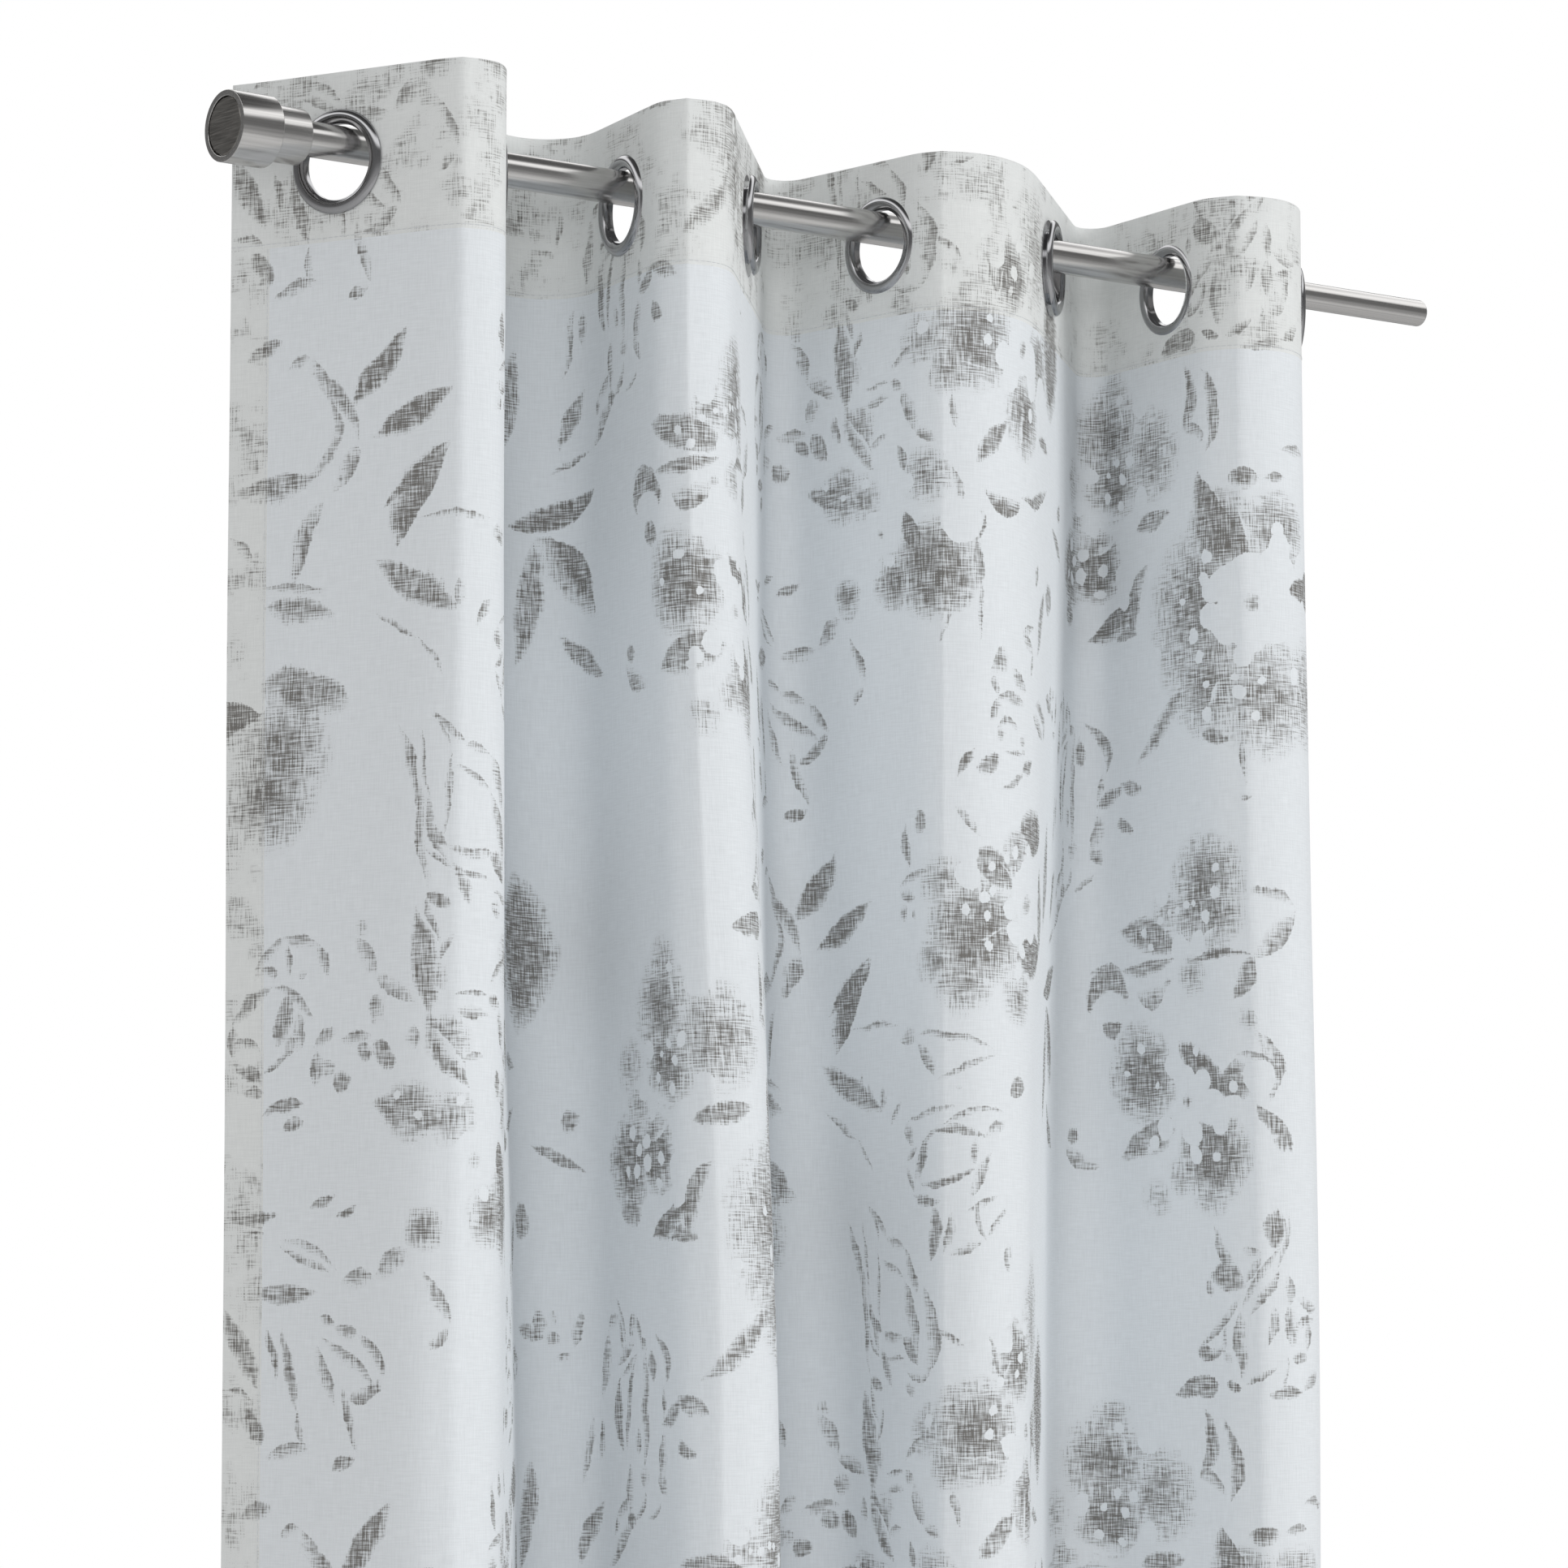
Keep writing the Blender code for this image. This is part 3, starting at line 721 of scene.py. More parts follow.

# Each motif is in millimetres across and down the cloth, in two shades of ink. The places were read off
# a flattened view of the photo with a grid over it. A cloud is x, y, radius and softness. A leaf is its start,
# its end, how far each of its two edges bulges to the left of the way from start to end, and the softness of
# each edge. A stroke is its start, its end, its bulge and its width. Petals and dots, each x, y and radius, are
# bare cloth, and so are veins, which are strokes. Eyes are inked again.
MOTIFS = {
    "daisy": {
        "deep clouds": [
            (563, -8, 46, 20), (578, -50, 26, 10), (566, 38, 30, 14), (700, -2, 30, 14),
            (692, 22, 28, 12),
        ],
        "deep leaves": [
            (562, -90, 600, -34, 2, -17, 1, 6), (622, -17, 690, -24, 9, -9, 1.5, 2),
        ],
        "middle clouds": [
            (606, 46, 34, 14), (646, 42, 32, 16), (616, -52, 24, 9), (545, 20, 24, 14),
        ],
        "middle leaves": [
            (685, -78, 735, -74, 6, -6, 3, 8), (684, -38, 742, -24, 13, -12, 3, 10),
            (512, -40, 500, 4, -2, -12, 4, 1), (456, 2, 500, -26, 2, -10, 1, 5),
            (478, 3, 503, 2, 7, -1, 3, 1), (498, 80, 548, 28, 2, -9, 5, 6),
            (560, 66, 582, 70, 5, -4, 3, 2),
        ],
        "middle strokes": [
            (588, 62, 591, 99, -1, 2.4), (526, -32, 539, -8, -3, 2), (585, 103, 594, 103, -3, 2),
        ],
        "petals": [
            (600, -14, 25), (584, -20, 13), (573, -17, 8), (571, -1, 9), (582, 2, 13), (596, 8, 12),
            (590, 22, 6), (612, 2, 14), (616, -30, 14), (618, -42, 9), (628, -2, 11), (641, -5, 8),
            (650, 1, 7), (640, -34, 9),
        ],
        "dots": [
            (569, -38, 4.2), (567, -24, 5), (555, 9, 5), (561, 21, 4), (566, 36, 3), (585, 34, 3),
            (588, 43, 4.5), (602, 36, 3.2), (597, 57, 3.6), (628, 31, 5), (567, 55, 5), (616, -52, 5),
            (521, 15, 4), (517, 24, 4), (686, -28, 4.5), (545, -14, 3),
        ],
        "veins": [
            (568, 52, 577, 32, 1, 3), (588, -73, 599, -36, -2, 4), (622, 12, 650, 55, -5, 1.2),
        ],
        "eyes": [
            (597, -10, 6),
        ],
    },
    "open flower": {
        "deep clouds": [
            (505, 264, 26, 9), (560, 312, 26, 8),
        ],
        "deep leaves": [
            (534, 244, 578, 278, 6, -10, 4, 3), (566, 278, 580, 255, 4, -14, 2, 8),
        ],
        "middle clouds": [
            (498, 250, 18, 8), (558, 334, 14, 8), (536, 322, 12, 7), (515, 336, 12, 10),
        ],
        "middle leaves": [
            (484, 312, 536, 291, 9, -8, 2, 6), (514, 300, 537, 290, 5, -2, 1, 2),
            (588, 282, 616, 310, 5, -4, 1, 3), (600, 303, 616, 306, 4, -4, 2, 3),
        ],
        "middle strokes": [
            (580, 229, 591, 240, 4, 6), (589, 238, 598, 282, 13, 6), (578, 255, 600, 281, 15, 3.4),
        ],
        "petals": [
            (546, 281, 13), (560, 284, 11), (575, 284, 8), (587, 284, 5), (534, 288, 9), (522, 295, 7),
            (512, 303, 5), (545, 298, 9), (546, 310, 5), (538, 266, 9), (530, 258, 8), (552, 268, 8),
            (568, 293, 7), (594, 268, 11),
        ],
        "dots": [
            (502, 248, 3.6), (515, 269, 2.6), (548, 251, 3.2), (576, 272, 3.8), (563, 313, 3.6),
            (509, 308, 3), (490, 262, 2.5),
        ],
        "eyes": [
            (541, 278, 5),
        ],
    },
    "side flower": {
        "deep clouds": [
            (560, 152, 28, 12), (566, 172, 20, 9), (548, 168, 18, 8),
        ],
        "deep leaves": [
            (540, 201, 592, 197, 7, 1, 2, 3),
        ],
        "middle clouds": [
            (546, 206, 12, 7), (524, 168, 13, 8),
        ],
        "middle leaves": [
            (482, 176, 536, 188, 9, -8, 3, 4), (484, 201, 532, 194, 2, -6, 1.5, 4),
            (592, 196, 580, 222, 5, -5, 1.5, 3), (464, 226, 489, 222, 21, 9, 2, 2),
            (472, 229, 486, 231, 1, -9, 1, 2),
        ],
        "middle strokes": [
            (585, 159, 622, 168, 6, 3), (622, 168, 590, 197, 6, 7), (459, 203, 488, 203, 5, 4),
            (497, 213, 524, 210, -10, 7), (522, 212, 528, 206, -1, 3),
        ],
        "petals": [
            (536, 188, 8), (552, 188, 7), (520, 160, 6),
        ],
        "dots": [
            (568, 146, 3.2), (569, 160, 4), (543, 166, 3), (549, 166, 2.6), (560, 174, 4.4),
            (527, 168, 2.2), (535, 168, 3), (519, 173, 2.8), (505, 180, 3), (512, 188, 3),
        ],
        "veins": [
            (550, 190, 575, 180, 2, 3),
        ],
    },
    "starry flower": {
        "deep clouds": [
            (474, 490, 27, 12), (478, 522, 22, 8), (434, 572, 24, 8), (464, 570, 20, 6),
        ],
        "deep leaves": [
            (456, 616, 500, 588, 4, -7, 1, 3),
        ],
        "middle clouds": [
            (515, 508, 28, 12), (478, 466, 14, 8), (436, 520, 16, 12), (444, 544, 12, 7),
        ],
        "middle leaves": [
            (498, 551, 536, 545, 6, -5, 2, 3), (420, 596, 446, 600, 8, -8, 6, 4),
        ],
        "petals": [
            (495, 545, 7), (492, 562, 7), (487, 578, 9), (486, 592, 6), (506, 532, 7), (505, 478, 8),
        ],
        "dots": [
            (459, 514, 5.6), (482, 509, 3.2), (473, 516, 2.4), (487, 519, 3.4), (470, 530, 3.6),
            (485, 535, 3.4), (471, 545, 2.6), (461, 548, 4), (494, 509, 4.4), (484, 470, 3.6),
            (437, 557, 4.6), (445, 567, 4.2), (430, 577, 3.2), (441, 578, 4.2), (454, 563, 4.6),
            (454, 575, 5), (469, 572, 4), (466, 585, 3.6), (451, 536, 5),
        ],
        "veins": [
            (450, 537, 492, 542, -2, 5), (456, 564, 484, 552, -1, 4), (484, 470, 488, 490, 1, 2.4),
            (450, 606, 484, 586, 2, 4),
        ],
    },
    "lobed flower": {
        "deep clouds": [
            (222, 470, 28, 11), (270, 508, 24, 9), (252, 432, 20, 7),
        ],
        "deep leaves": [
            (229, 552, 263, 557, -2, -12, 7, 1), (345, 410, 343, 504, 24, -22, 14, 14),
        ],
        "middle clouds": [
            (296, 408, 36, 18), (302, 474, 26, 10), (206, 488, 14, 7), (190, 470, 16, 9),
        ],
        "middle leaves": [
            (262, 556, 332, 540, -1, -8, 3, 1), (222, 540, 248, 512, 6, -5, 3, 3),
            (300, 516, 336, 520, 5, -3, 3, 2),
        ],
        "middle strokes": [
            (182, 387, 186, 441, 14, 6), (197, 411, 216, 426, 2, 2.4), (266, 500, 269, 538, -1, 3),
            (248, 404, 253, 425, -2, 5), (243, 365, 244, 382, -3, 3), (210, 500, 212, 522, -4, 2.5),
            (228, 414, 246, 452, -4, 2.2), (165, 486, 196, 470, 4, 3),
        ],
        "petals": [
            (275, 453, 10), (293, 451, 9), (305, 454, 6), (264, 470, 15), (280, 477, 12), (250, 487, 9),
            (282, 489, 9), (244, 477, 8), (308, 494, 16), (238, 420, 8), (224, 515, 10),
        ],
        "dots": [
            (232, 457, 3.2), (230, 470, 3.6), (190, 464, 4), (240, 500, 4.4), (241, 512, 3.4),
            (262, 413, 4.2), (254, 429, 4.4), (250, 439, 2.8), (235, 424, 4), (283, 421, 5.4),
            (236, 443, 3), (279, 506, 5),
        ],
        "veins": [
            (206, 486, 244, 486, 1, 1.2), (236, 450, 246, 424, 1, 1.2), (264, 500, 260, 536, 1, 3),
        ],
        "eyes": [
            (265, 470, 6),
        ],
    },
    "wide flower": {
        "deep clouds": [
            (224, 192, 30, 10), (196, 208, 14, 8),
        ],
        "deep leaves": [
            (250, 208, 312, 196, 10, -12, 2, 5), (256, 132, 308, 130, 11, -12, 8, 3),
        ],
        "middle clouds": [
            (214, 220, 18, 8), (256, 228, 16, 8), (202, 165, 16, 9), (255, 146, 14, 6),
        ],
        "middle leaves": [
            (306, 150, 313, 202, 9, -7, 3, 3), (222, 145, 250, 166, 7, -8, 3, 2),
        ],
        "middle strokes": [
            (208, 120, 224, 140, 0, 3), (168, 167, 196, 160, 6, 3), (168, 170, 182, 172, -3, 4),
            (172, 176, 170, 186, 1, 3), (180, 178, 182, 184, 1, 4),
        ],
        "petals": [
            (262, 168, 14), (276, 184, 12), (252, 192, 8), (270, 158, 10), (288, 178, 11),
            (290, 164, 10), (217, 161, 9), (248, 178, 7), (259, 203, 5), (272, 146, 5), (290, 149, 5),
        ],
        "dots": [
            (253, 146, 4.2), (244, 150, 3.2), (233, 155, 2.6), (227, 172, 4), (233, 168, 2.8),
            (215, 180, 3.2), (229, 183, 3.2), (229, 199, 3.2), (254, 214, 4.4),
        ],
        "veins": [
            (236, 152, 250, 162, 0, 1.4), (222, 198, 243, 190, 0, 1.2), (240, 165, 250, 172, 0, 1.2),
        ],
        "eyes": [
            (268, 174, 7),
        ],
    },
    "hanging flower": {
        "deep clouds": [
            (196, 600, 27, 8), (168, 606, 16, 7), (128, 612, 11, 5),
        ],
        "deep leaves": [
            (176, 566, 186, 592, 6, -5, 1, 2),
        ],
        "middle clouds": [
            (192, 548, 16, 8), (122, 552, 16, 6), (142, 556, 14, 7), (140, 515, 13, 7),
        ],
        "middle leaves": [
            (95, 548, 140, 560, 8, -6, 3, 3), (128, 498, 152, 542, 5, -8, 3, 3),
            (98, 514, 110, 532, 6, -5, 1.5, 3), (172, 530, 176, 544, 4, -3, 1.5, 2),
            (222, 580, 226, 612, 3, -3, 1.5, 3),
        ],
        "middle strokes": [
            (164, 492, 175, 498, 3, 4), (175, 496, 186, 522, -3, 5), (184, 520, 201, 528, -2, 4),
            (142, 492, 166, 491, 1, 2), (142, 502, 166, 501, -1, 3), (148, 528, 164, 524, 4, 3),
            (205, 542, 215, 568, 4, 3), (226, 564, 220, 588, 2, 5), (120, 506, 122, 522, 1, 4),
            (206, 616, 199, 644, 3, 1.6), (225, 596, 223, 644, 3, 2), (104, 634, 118, 622, 2, 5),
            (128, 633, 142, 664, 3, 3.4), (141, 663, 130, 674, 2, 3), (75, 640, 100, 638, 3, 5),
            (100, 638, 121, 622, 1, 5),
        ],
        "petals": [
            (150, 582, 9), (164, 580, 7), (152, 570, 7), (214, 574, 12), (128, 594, 5), (178, 551, 6),
        ],
        "dots": [
            (125, 553, 2.6), (164, 594, 4.5), (168, 556, 4), (145, 547, 3), (112, 545, 2.6),
        ],
        "veins": [
            (127, 506, 154, 541, 3, 4), (135, 628, 148, 583, -3, 2), (152, 606, 160, 590, 1, 2),
        ],
        "eyes": [
            (156, 577, 4),
        ],
    },
    "tulip": {
        "middle leaves": [
            (92, 262, 146, 290, 5, -9, 3, 4), (127, 402, 140, 416, 3, -3, 1.5, 2),
            (163, 419, 181, 432, 6, -3, 3, 1), (122, 446, 130, 504, 7, -6, 4, 3),
            (127, 441, 141, 446, 3, -3, 1.5, 2), (141, 422, 152, 446, 4, -4, 4, 4),
        ],
        "middle strokes": [
            (127, 290, 127, 268, 1, 3), (134, 292, 134, 274, 1, 3), (144, 290, 146, 275, 1, 3),
            (92, 290, 121, 306, -2, 2), (120, 304, 136, 326, 2, 1.6), (109, 350, 120, 392, 4, 3.2),
            (119, 366, 128, 442, -1, 3), (128, 442, 136, 466, -2, 2.4), (122, 350, 128, 396, 1, 1.6),
            (127, 386, 141, 427, -4, 2.4), (131, 344, 139, 364, 2, 1.6), (139, 362, 138, 413, 1, 1.8),
            (128, 344, 148, 361, 2, 3), (146, 360, 166, 368, 2, 2.6), (165, 367, 178, 396, 4, 4),
            (141, 373, 165, 384, 2, 2.6), (164, 383, 180, 432, 5, 5), (138, 415, 166, 419, 1, 3.4),
            (128, 414, 142, 428, -3, 2), (140, 428, 166, 430, 1, 1.8), (167, 436, 192, 438, -4, 2.6),
            (166, 444, 176, 451, -1, 4), (131, 470, 138, 490, -2, 5), (141, 458, 134, 476, 2, 2.4),
        ],
    },
    "rose": {
        "middle leaves": [
            (192, 302, 228, 307, 5, 0, 2, 1), (182, 333, 222, 322, -1, -6, 3, 1),
            (193, 304, 182, 333, 2, -5, 2, 3), (175, 339, 203, 344, 2, -4, 2, 2),
            (197, 344, 192, 376, 5, -4, 2, 3), (245, 283, 262, 279, 6, -2, 2, 1),
        ],
        "middle strokes": [
            (164, 252, 181, 254, 0, 5), (180, 252, 232, 258, 7, 2.6), (181, 254, 198, 274, -1, 4.4),
            (197, 276, 236, 260, 1, 2.2), (210, 278, 214, 280, 1, 4), (168, 299, 214, 289, 4, 2.2),
            (170, 297, 176, 312, -3, 5), (177, 337, 200, 297, 5, 2.6), (199, 299, 241, 293, 4, 2.4),
            (226, 307, 242, 297, 2, 3.4), (222, 322, 222, 306, 3, 2), (230, 314, 216, 342, 2, 3.4),
            (166, 320, 180, 312, -2, 3), (154, 300, 166, 286, 4, 2.6), (167, 322, 178, 338, -2, 2.4),
            (214, 352, 236, 337, 2, 2.2), (203, 372, 208, 350, 2, 3.2), (204, 371, 224, 364, -2, 2.4),
            (220, 344, 228, 366, -2, 2), (242, 343, 228, 362, -1, 2.2), (118, 243, 165, 243, 2, 2),
            (0, 245, 18, 263, 3, 3), (17, 274, 66, 277, 2, 3),
        ],
    },
    "bud": {
        "middle leaves": [
            (418, 74, 423, 117, 1, -7, 2, 2), (439, 62, 427, 117, -1, -6, 2, 2),
            (456, 52, 470, 82, 9, 2, 1.5, 3), (464, 101, 485, 88, 2, -6, 2, 3),
            (452, 60, 454, 80, 4, -3, 2, 3), (400, 142, 380, 179, 3, -7, 4, 2),
            (426, 152, 436, 154, 4, -4, 2, 2), (484, 108, 496, 118, 2, -6, 2, 2),
            (481, 88, 506, 96, 5, -4, 2, 4),
        ],
        "middle strokes": [
            (403, 50, 418, 44, 3, 3.4), (404, 48, 398, 90, -1, 4.6), (416, 43, 421, 62, 2, 2),
            (413, 69, 436, 56, -1, 3.6), (414, 33, 424, 58, 3, 2.2), (434, 40, 431, 56, -1, 4),
            (436, 43, 442, 56, 2, 2.4), (419, 77, 440, 61, 1, 3), (448, 54, 446, 132, 1, 3.6),
            (440, 55, 449, 57, 1, 3), (468, 80, 466, 99, 0, 2.4), (466, 104, 463, 132, -1, 4.6),
            (461, 126, 470, 138, -2, 4), (396, 98, 396, 122, -1, 3.4), (389, 95, 381, 138, 3, 2.6),
            (431, 121, 431, 152, -3, 3.6), (432, 140, 412, 152, -2, 4), (413, 150, 411, 161, 0, 2.6),
            (442, 124, 447, 136, 0, 5), (447, 136, 432, 153, 6, 2.4), (434, 151, 404, 178, 3, 4.4),
            (404, 178, 371, 192, 1, 2.4), (438, 102, 437, 118, 2, 3), (464, 141, 448, 152, 4, 2),
        ],
    },
    "folded flower": {
        "middle leaves": [
            (604, 342, 599, 366, 5, -6, 3, 2), (556, 380, 582, 388, 8, -5, 2, 3),
            (526, 450, 560, 440, 5, -5, 1, 2), (540, 446, 562, 444, 6, -6, 1, 2),
            (549, 458, 546, 500, 12, 2, 4, 2), (545, 424, 560, 426, 3, -4, 2, 2),
            (566, 462, 568, 514, 10, 2, 1.5, 3), (567, 442, 580, 446, 2, -3, 1, 1.5),
            (595, 452, 620, 448, 3, -3, 2, 2), (582, 530, 602, 532, 6, -5, 1, 5),
            (604, 530, 622, 528, 4, -2, 1, 4),
        ],
        "middle strokes": [
            (558, 350, 581, 390, -4, 4.4), (557, 380, 557, 395, -2, 3), (581, 366, 592, 370, 2, 3),
            (592, 369, 581, 386, 2, 2.4), (606, 362, 579, 402, -3, 2.8), (611, 344, 602, 378, 2, 2),
            (579, 392, 546, 424, 4, 3.4), (578, 402, 580, 442, -3, 5), (546, 425, 568, 420, -7, 3.4),
            (568, 407, 567, 430, 1, 2), (568, 426, 572, 432, 1, 3.6), (583, 404, 605, 375, -4, 3),
            (600, 397, 594, 423, 4, 3), (610, 380, 607, 400, 3, 3.6), (608, 398, 611, 424, -2, 5),
            (612, 394, 638, 398, -4, 3.4), (612, 410, 634, 404, 2, 3.4), (626, 404, 622, 426, 3, 3.6),
            (609, 428, 624, 426, -4, 4), (582, 444, 600, 434, -3, 3), (618, 448, 640, 434, -2, 3.6),
            (546, 500, 565, 508, 8, 4), (606, 425, 606, 452, 1, 1.6),
        ],
    },
    "rose loops": {
        "middle leaves": [
            (8, 500, 30, 486, 6, -1, 2, 3), (40, 488, 32, 518, 6, -4, 4, 2),
            (10, 530, 24, 532, 5, -4, 2, 2), (12, 541, 24, 541, 3, -3, 1.5, 2),
            (22, 552, 50, 548, 5, -2, 1, 2), (36, 562, 51, 555, 4, -3, 1.5, 2),
            (72, 530, 82, 532, 2, -12, 1.5, 3), (86, 515, 96, 526, 4, -4, 2, 2),
        ],
        "middle strokes": [
            (19, 481, 42, 459, 6, 3), (36, 460, 60, 464, 3, 4), (58, 462, 64, 482, 3, 4),
            (40, 462, 40, 482, 1, 2.6), (21, 479, 31, 484, 7, 2.6), (28, 486, 56, 506, 7, 3.6),
            (3, 506, 30, 486, 4, 3), (6, 502, 4, 524, -2, 3.4), (4, 522, 21, 520, 9, 3),
            (4, 521, 20, 530, -4, 3), (22, 531, 44, 514, -4, 2), (42, 508, 40, 524, 2, 3.4),
            (46, 498, 46, 520, 3, 4), (58, 540, 60, 518, 2, 4.6), (58, 520, 74, 508, 4, 4),
            (74, 516, 97, 512, 3, 4), (60, 528, 72, 529, 1, 4), (84, 459, 92, 453, 2, 4),
            (83, 460, 96, 484, 5, 5), (95, 482, 122, 494, -2, 5), (100, 491, 98, 508, -2, 5),
            (46, 480, 52, 476, 1, 5),
        ],
    },
    "shell": {
        "middle leaves": [
            (27, 50, 33, 77, 3, -2, 1.5, 2), (37, 50, 49, 94, 3, -4, 2, 2),
            (82, 88, 104, 74, 1, -6, 3, 1), (73, 123, 87, 119, 4, -2, 1, 2),
            (12, 92, 26, 112, 5, -5, 2, 4),
        ],
        "middle strokes": [
            (60, 58, 74, 92, 2, 4), (62, 54, 101, 81, 3, 3.4), (61, 45, 74, 48, 3, 3),
            (72, 48, 90, 55, 2, 3.6), (89, 54, 107, 76, 4, 4), (106, 75, 92, 84, 3, 3.6),
            (80, 79, 90, 116, -3, 3.4), (88, 116, 76, 124, 2, 3), (0, 84, 20, 92, 5, 3),
            (50, 92, 52, 114, -3, 2.6), (26, 118, 58, 112, 3, 4),
        ],
    },
    "big leaves": {
        "deep leaves": [
            (61, 228, 42, 274, 1, -9, 1.5, 10), (90, 198, 141, 173, 5, -7, 2, 4),
            (78, 182, 112, 140, 6, -7, 2, 5), (97, 236, 139, 203, 4, -4, 1.5, 3),
            (139, 204, 104, 260, 3, -14, 1, 8), (346, 220, 409, 200, 4, -9, 3, 1.5),
            (364, 226, 407, 274, 13, -8, 1.5, 14),
        ],
        "middle leaves": [
            (366, 226, 352, 299, 8, -6, 4, 4), (378, 279, 419, 305, 3, -8, 2, 3),
            (353, 561, 388, 577, 4, -3, 1.5, 2), (372, 552, 384, 546, 5, -4, 1.5, 3),
            (446, 300, 455, 292, 3, -5, 2, 2), (55, -12, 73, -20, 2, -3, 1, 2),
            (73, -8, 87, -14, 2, -3, 1, 2), (-2, -6, 36, -9, 2, -4, 1.5, 2),
            (16, 34, 62, 30, 4, -5, 2, 3), (0, 38, 24, 82, 4, -7, 3, 4), (10, 150, 32, 142, 4, -4, 2, 3),
            (35, 217, 52, 166, -16, -22, 5, 2), (0, 222, 58, 217, 5, -7, 2, 8),
            (50, 160, 82, 200, 9, 1, 2, 5), (335, 186, 352, 118, 8, -10, 8, 3),
            (212, 106, 221, 89, 3, -2, 1, 2), (221, 101, 239, 93, 4, -5, 2, 3),
            (241, 112, 264, 102, 3, -2, 2, 2), (262, 101, 279, 90, 4, -4, 2, 2),
            (174, 129, 177, 156, 2, -5, 2, 2), (184, 124, 190, 137, 4, -4, 1.5, 3),
            (294, 30, 327, -14, 8, -5, 5, 5), (285, 58, 334, 66, 4, -4, 4, 3),
            (291, -10, 300, -22, 4, -3, 3, 3), (330, -16, 346, -20, 2, -15, 4, 3),
            (332, 50, 362, 54, 5, -4, 4, 3),
        ],
        "middle strokes": [
            (10, 4, 27, 0, 2, 2.4), (35, 4, 74, 21, 5, 3), (35, 6, 72, 22, -3, 2.4),
            (445, 302, 471, 317, -5, 5), (82, 198, 66, 226, 4, 5), (36, 158, 52, 153, 3, 3),
            (51, 153, 67, 182, 4, 4), (279, 62, 318, 76, -5, 4.6), (318, 76, 330, 66, -1, 4),
            (232, 46, 246, 30, 2, 6), (250, 41, 269, 54, 2, 4.6), (234, 46, 238, 60, -2, 3),
            (236, 62, 266, 63, 6, 4), (262, 21, 284, 30, 2, 4), (263, 22, 285, 14, 2, 2.6),
            (284, 29, 277, 46, -2, 3), (232, 76, 239, 60, 2, 4), (237, 80, 256, 79, 8, 2.6),
            (238, 78, 242, 86, -2, 4), (258, 80, 266, 82, 1, 3), (263, 84, 265, 90, 1, 3),
            (242, 92, 264, 90, 2, 2), (357, 38, 357, 56, -1, 4), (366, 40, 366, 48, 1, 2),
            (380, 40, 378, 62, 2, 3), (368, 66, 378, 66, 1, 3), (362, 50, 370, 58, 1, 4),
            (616, 512, 650, 513, 3, 3),
        ],
    },
}


class Nodes:
    """Makes the nodes of one tree, each after the nodes that it reads."""

    def __init__(self, tree):
        self.tree = tree

    def join(self, socket, value):
        """Links a socket, or sets a plain value."""
        if isinstance(value, bpy.types.NodeSocket):
            self.tree.links.new(value, socket)
        else:
            socket.default_value = value

    def add(self, kind, inputs, output=0, **settings):
        """One node with its settings and inputs, each named or numbered. Gives the output asked for."""
        node = self.tree.nodes.new("ShaderNode" + kind)
        for name, value in settings.items():
            setattr(node, name, value)
        for socket, value in inputs.items():
            self.join(node.inputs[socket], value)
        return node.outputs[output]

    def math(self, operation, *values):
        """A Math node."""
        return self.add("Math", dict(enumerate(values)), operation=operation)

    def vector(self, operation, *values, output="Vector"):
        """A Vector Math node."""
        return self.add("VectorMath", dict(enumerate(values)), output, operation=operation)

    def scaled(self, colour, share):
        """A colour made lighter or darker."""
        return self.add("VectorMath", {0: colour, "Scale": share}, operation="SCALE")

    def distance(self, point, centre):
        """How far the point is from a fixed place on the cloth."""
        return self.vector("DISTANCE", point, (*centre, 0.0), output="Value")

    def noise(self, place, scale, detail=2.0, output="Fac"):
        """A Noise texture."""
        return self.add("TexNoise", {"Vector": place, "Scale": scale, "Detail": detail}, output)

    def span(self, value, low, high, to_low, to_high):
        """The value's span from low to high, brought to another span and held inside it."""
        ends = {"Value": value, "From Min": low, "From Max": high, "To Min": to_low, "To Max": to_high}
        return self.add("MapRange", ends)

    def mix(self, share, first, second):
        """A mix of two colours."""
        return self.add("Mix", {0: share, 4: first, 5: second}, 1, data_type="VECTOR")


def signed_circle(start, end, bulge):
    """The centre and radius of the circle through start and end with the given bulge to the left."""
    bulge = bulge if abs(bulge) > SMALLEST_BULGE else SMALLEST_BULGE
    across, down = end[0] - start[0], end[1] - start[1]
    length = math.hypot(across, down)
    left = (down / length, -across / length)
    reach = bulge / 2 - length**2 / (8 * bulge)
    centre = tuple((a + b) / 2 + side * reach for a, b, side in zip(start, end, left))
    return centre, abs(bulge) / 2 + length**2 / (8 * abs(bulge)), bulge > 0


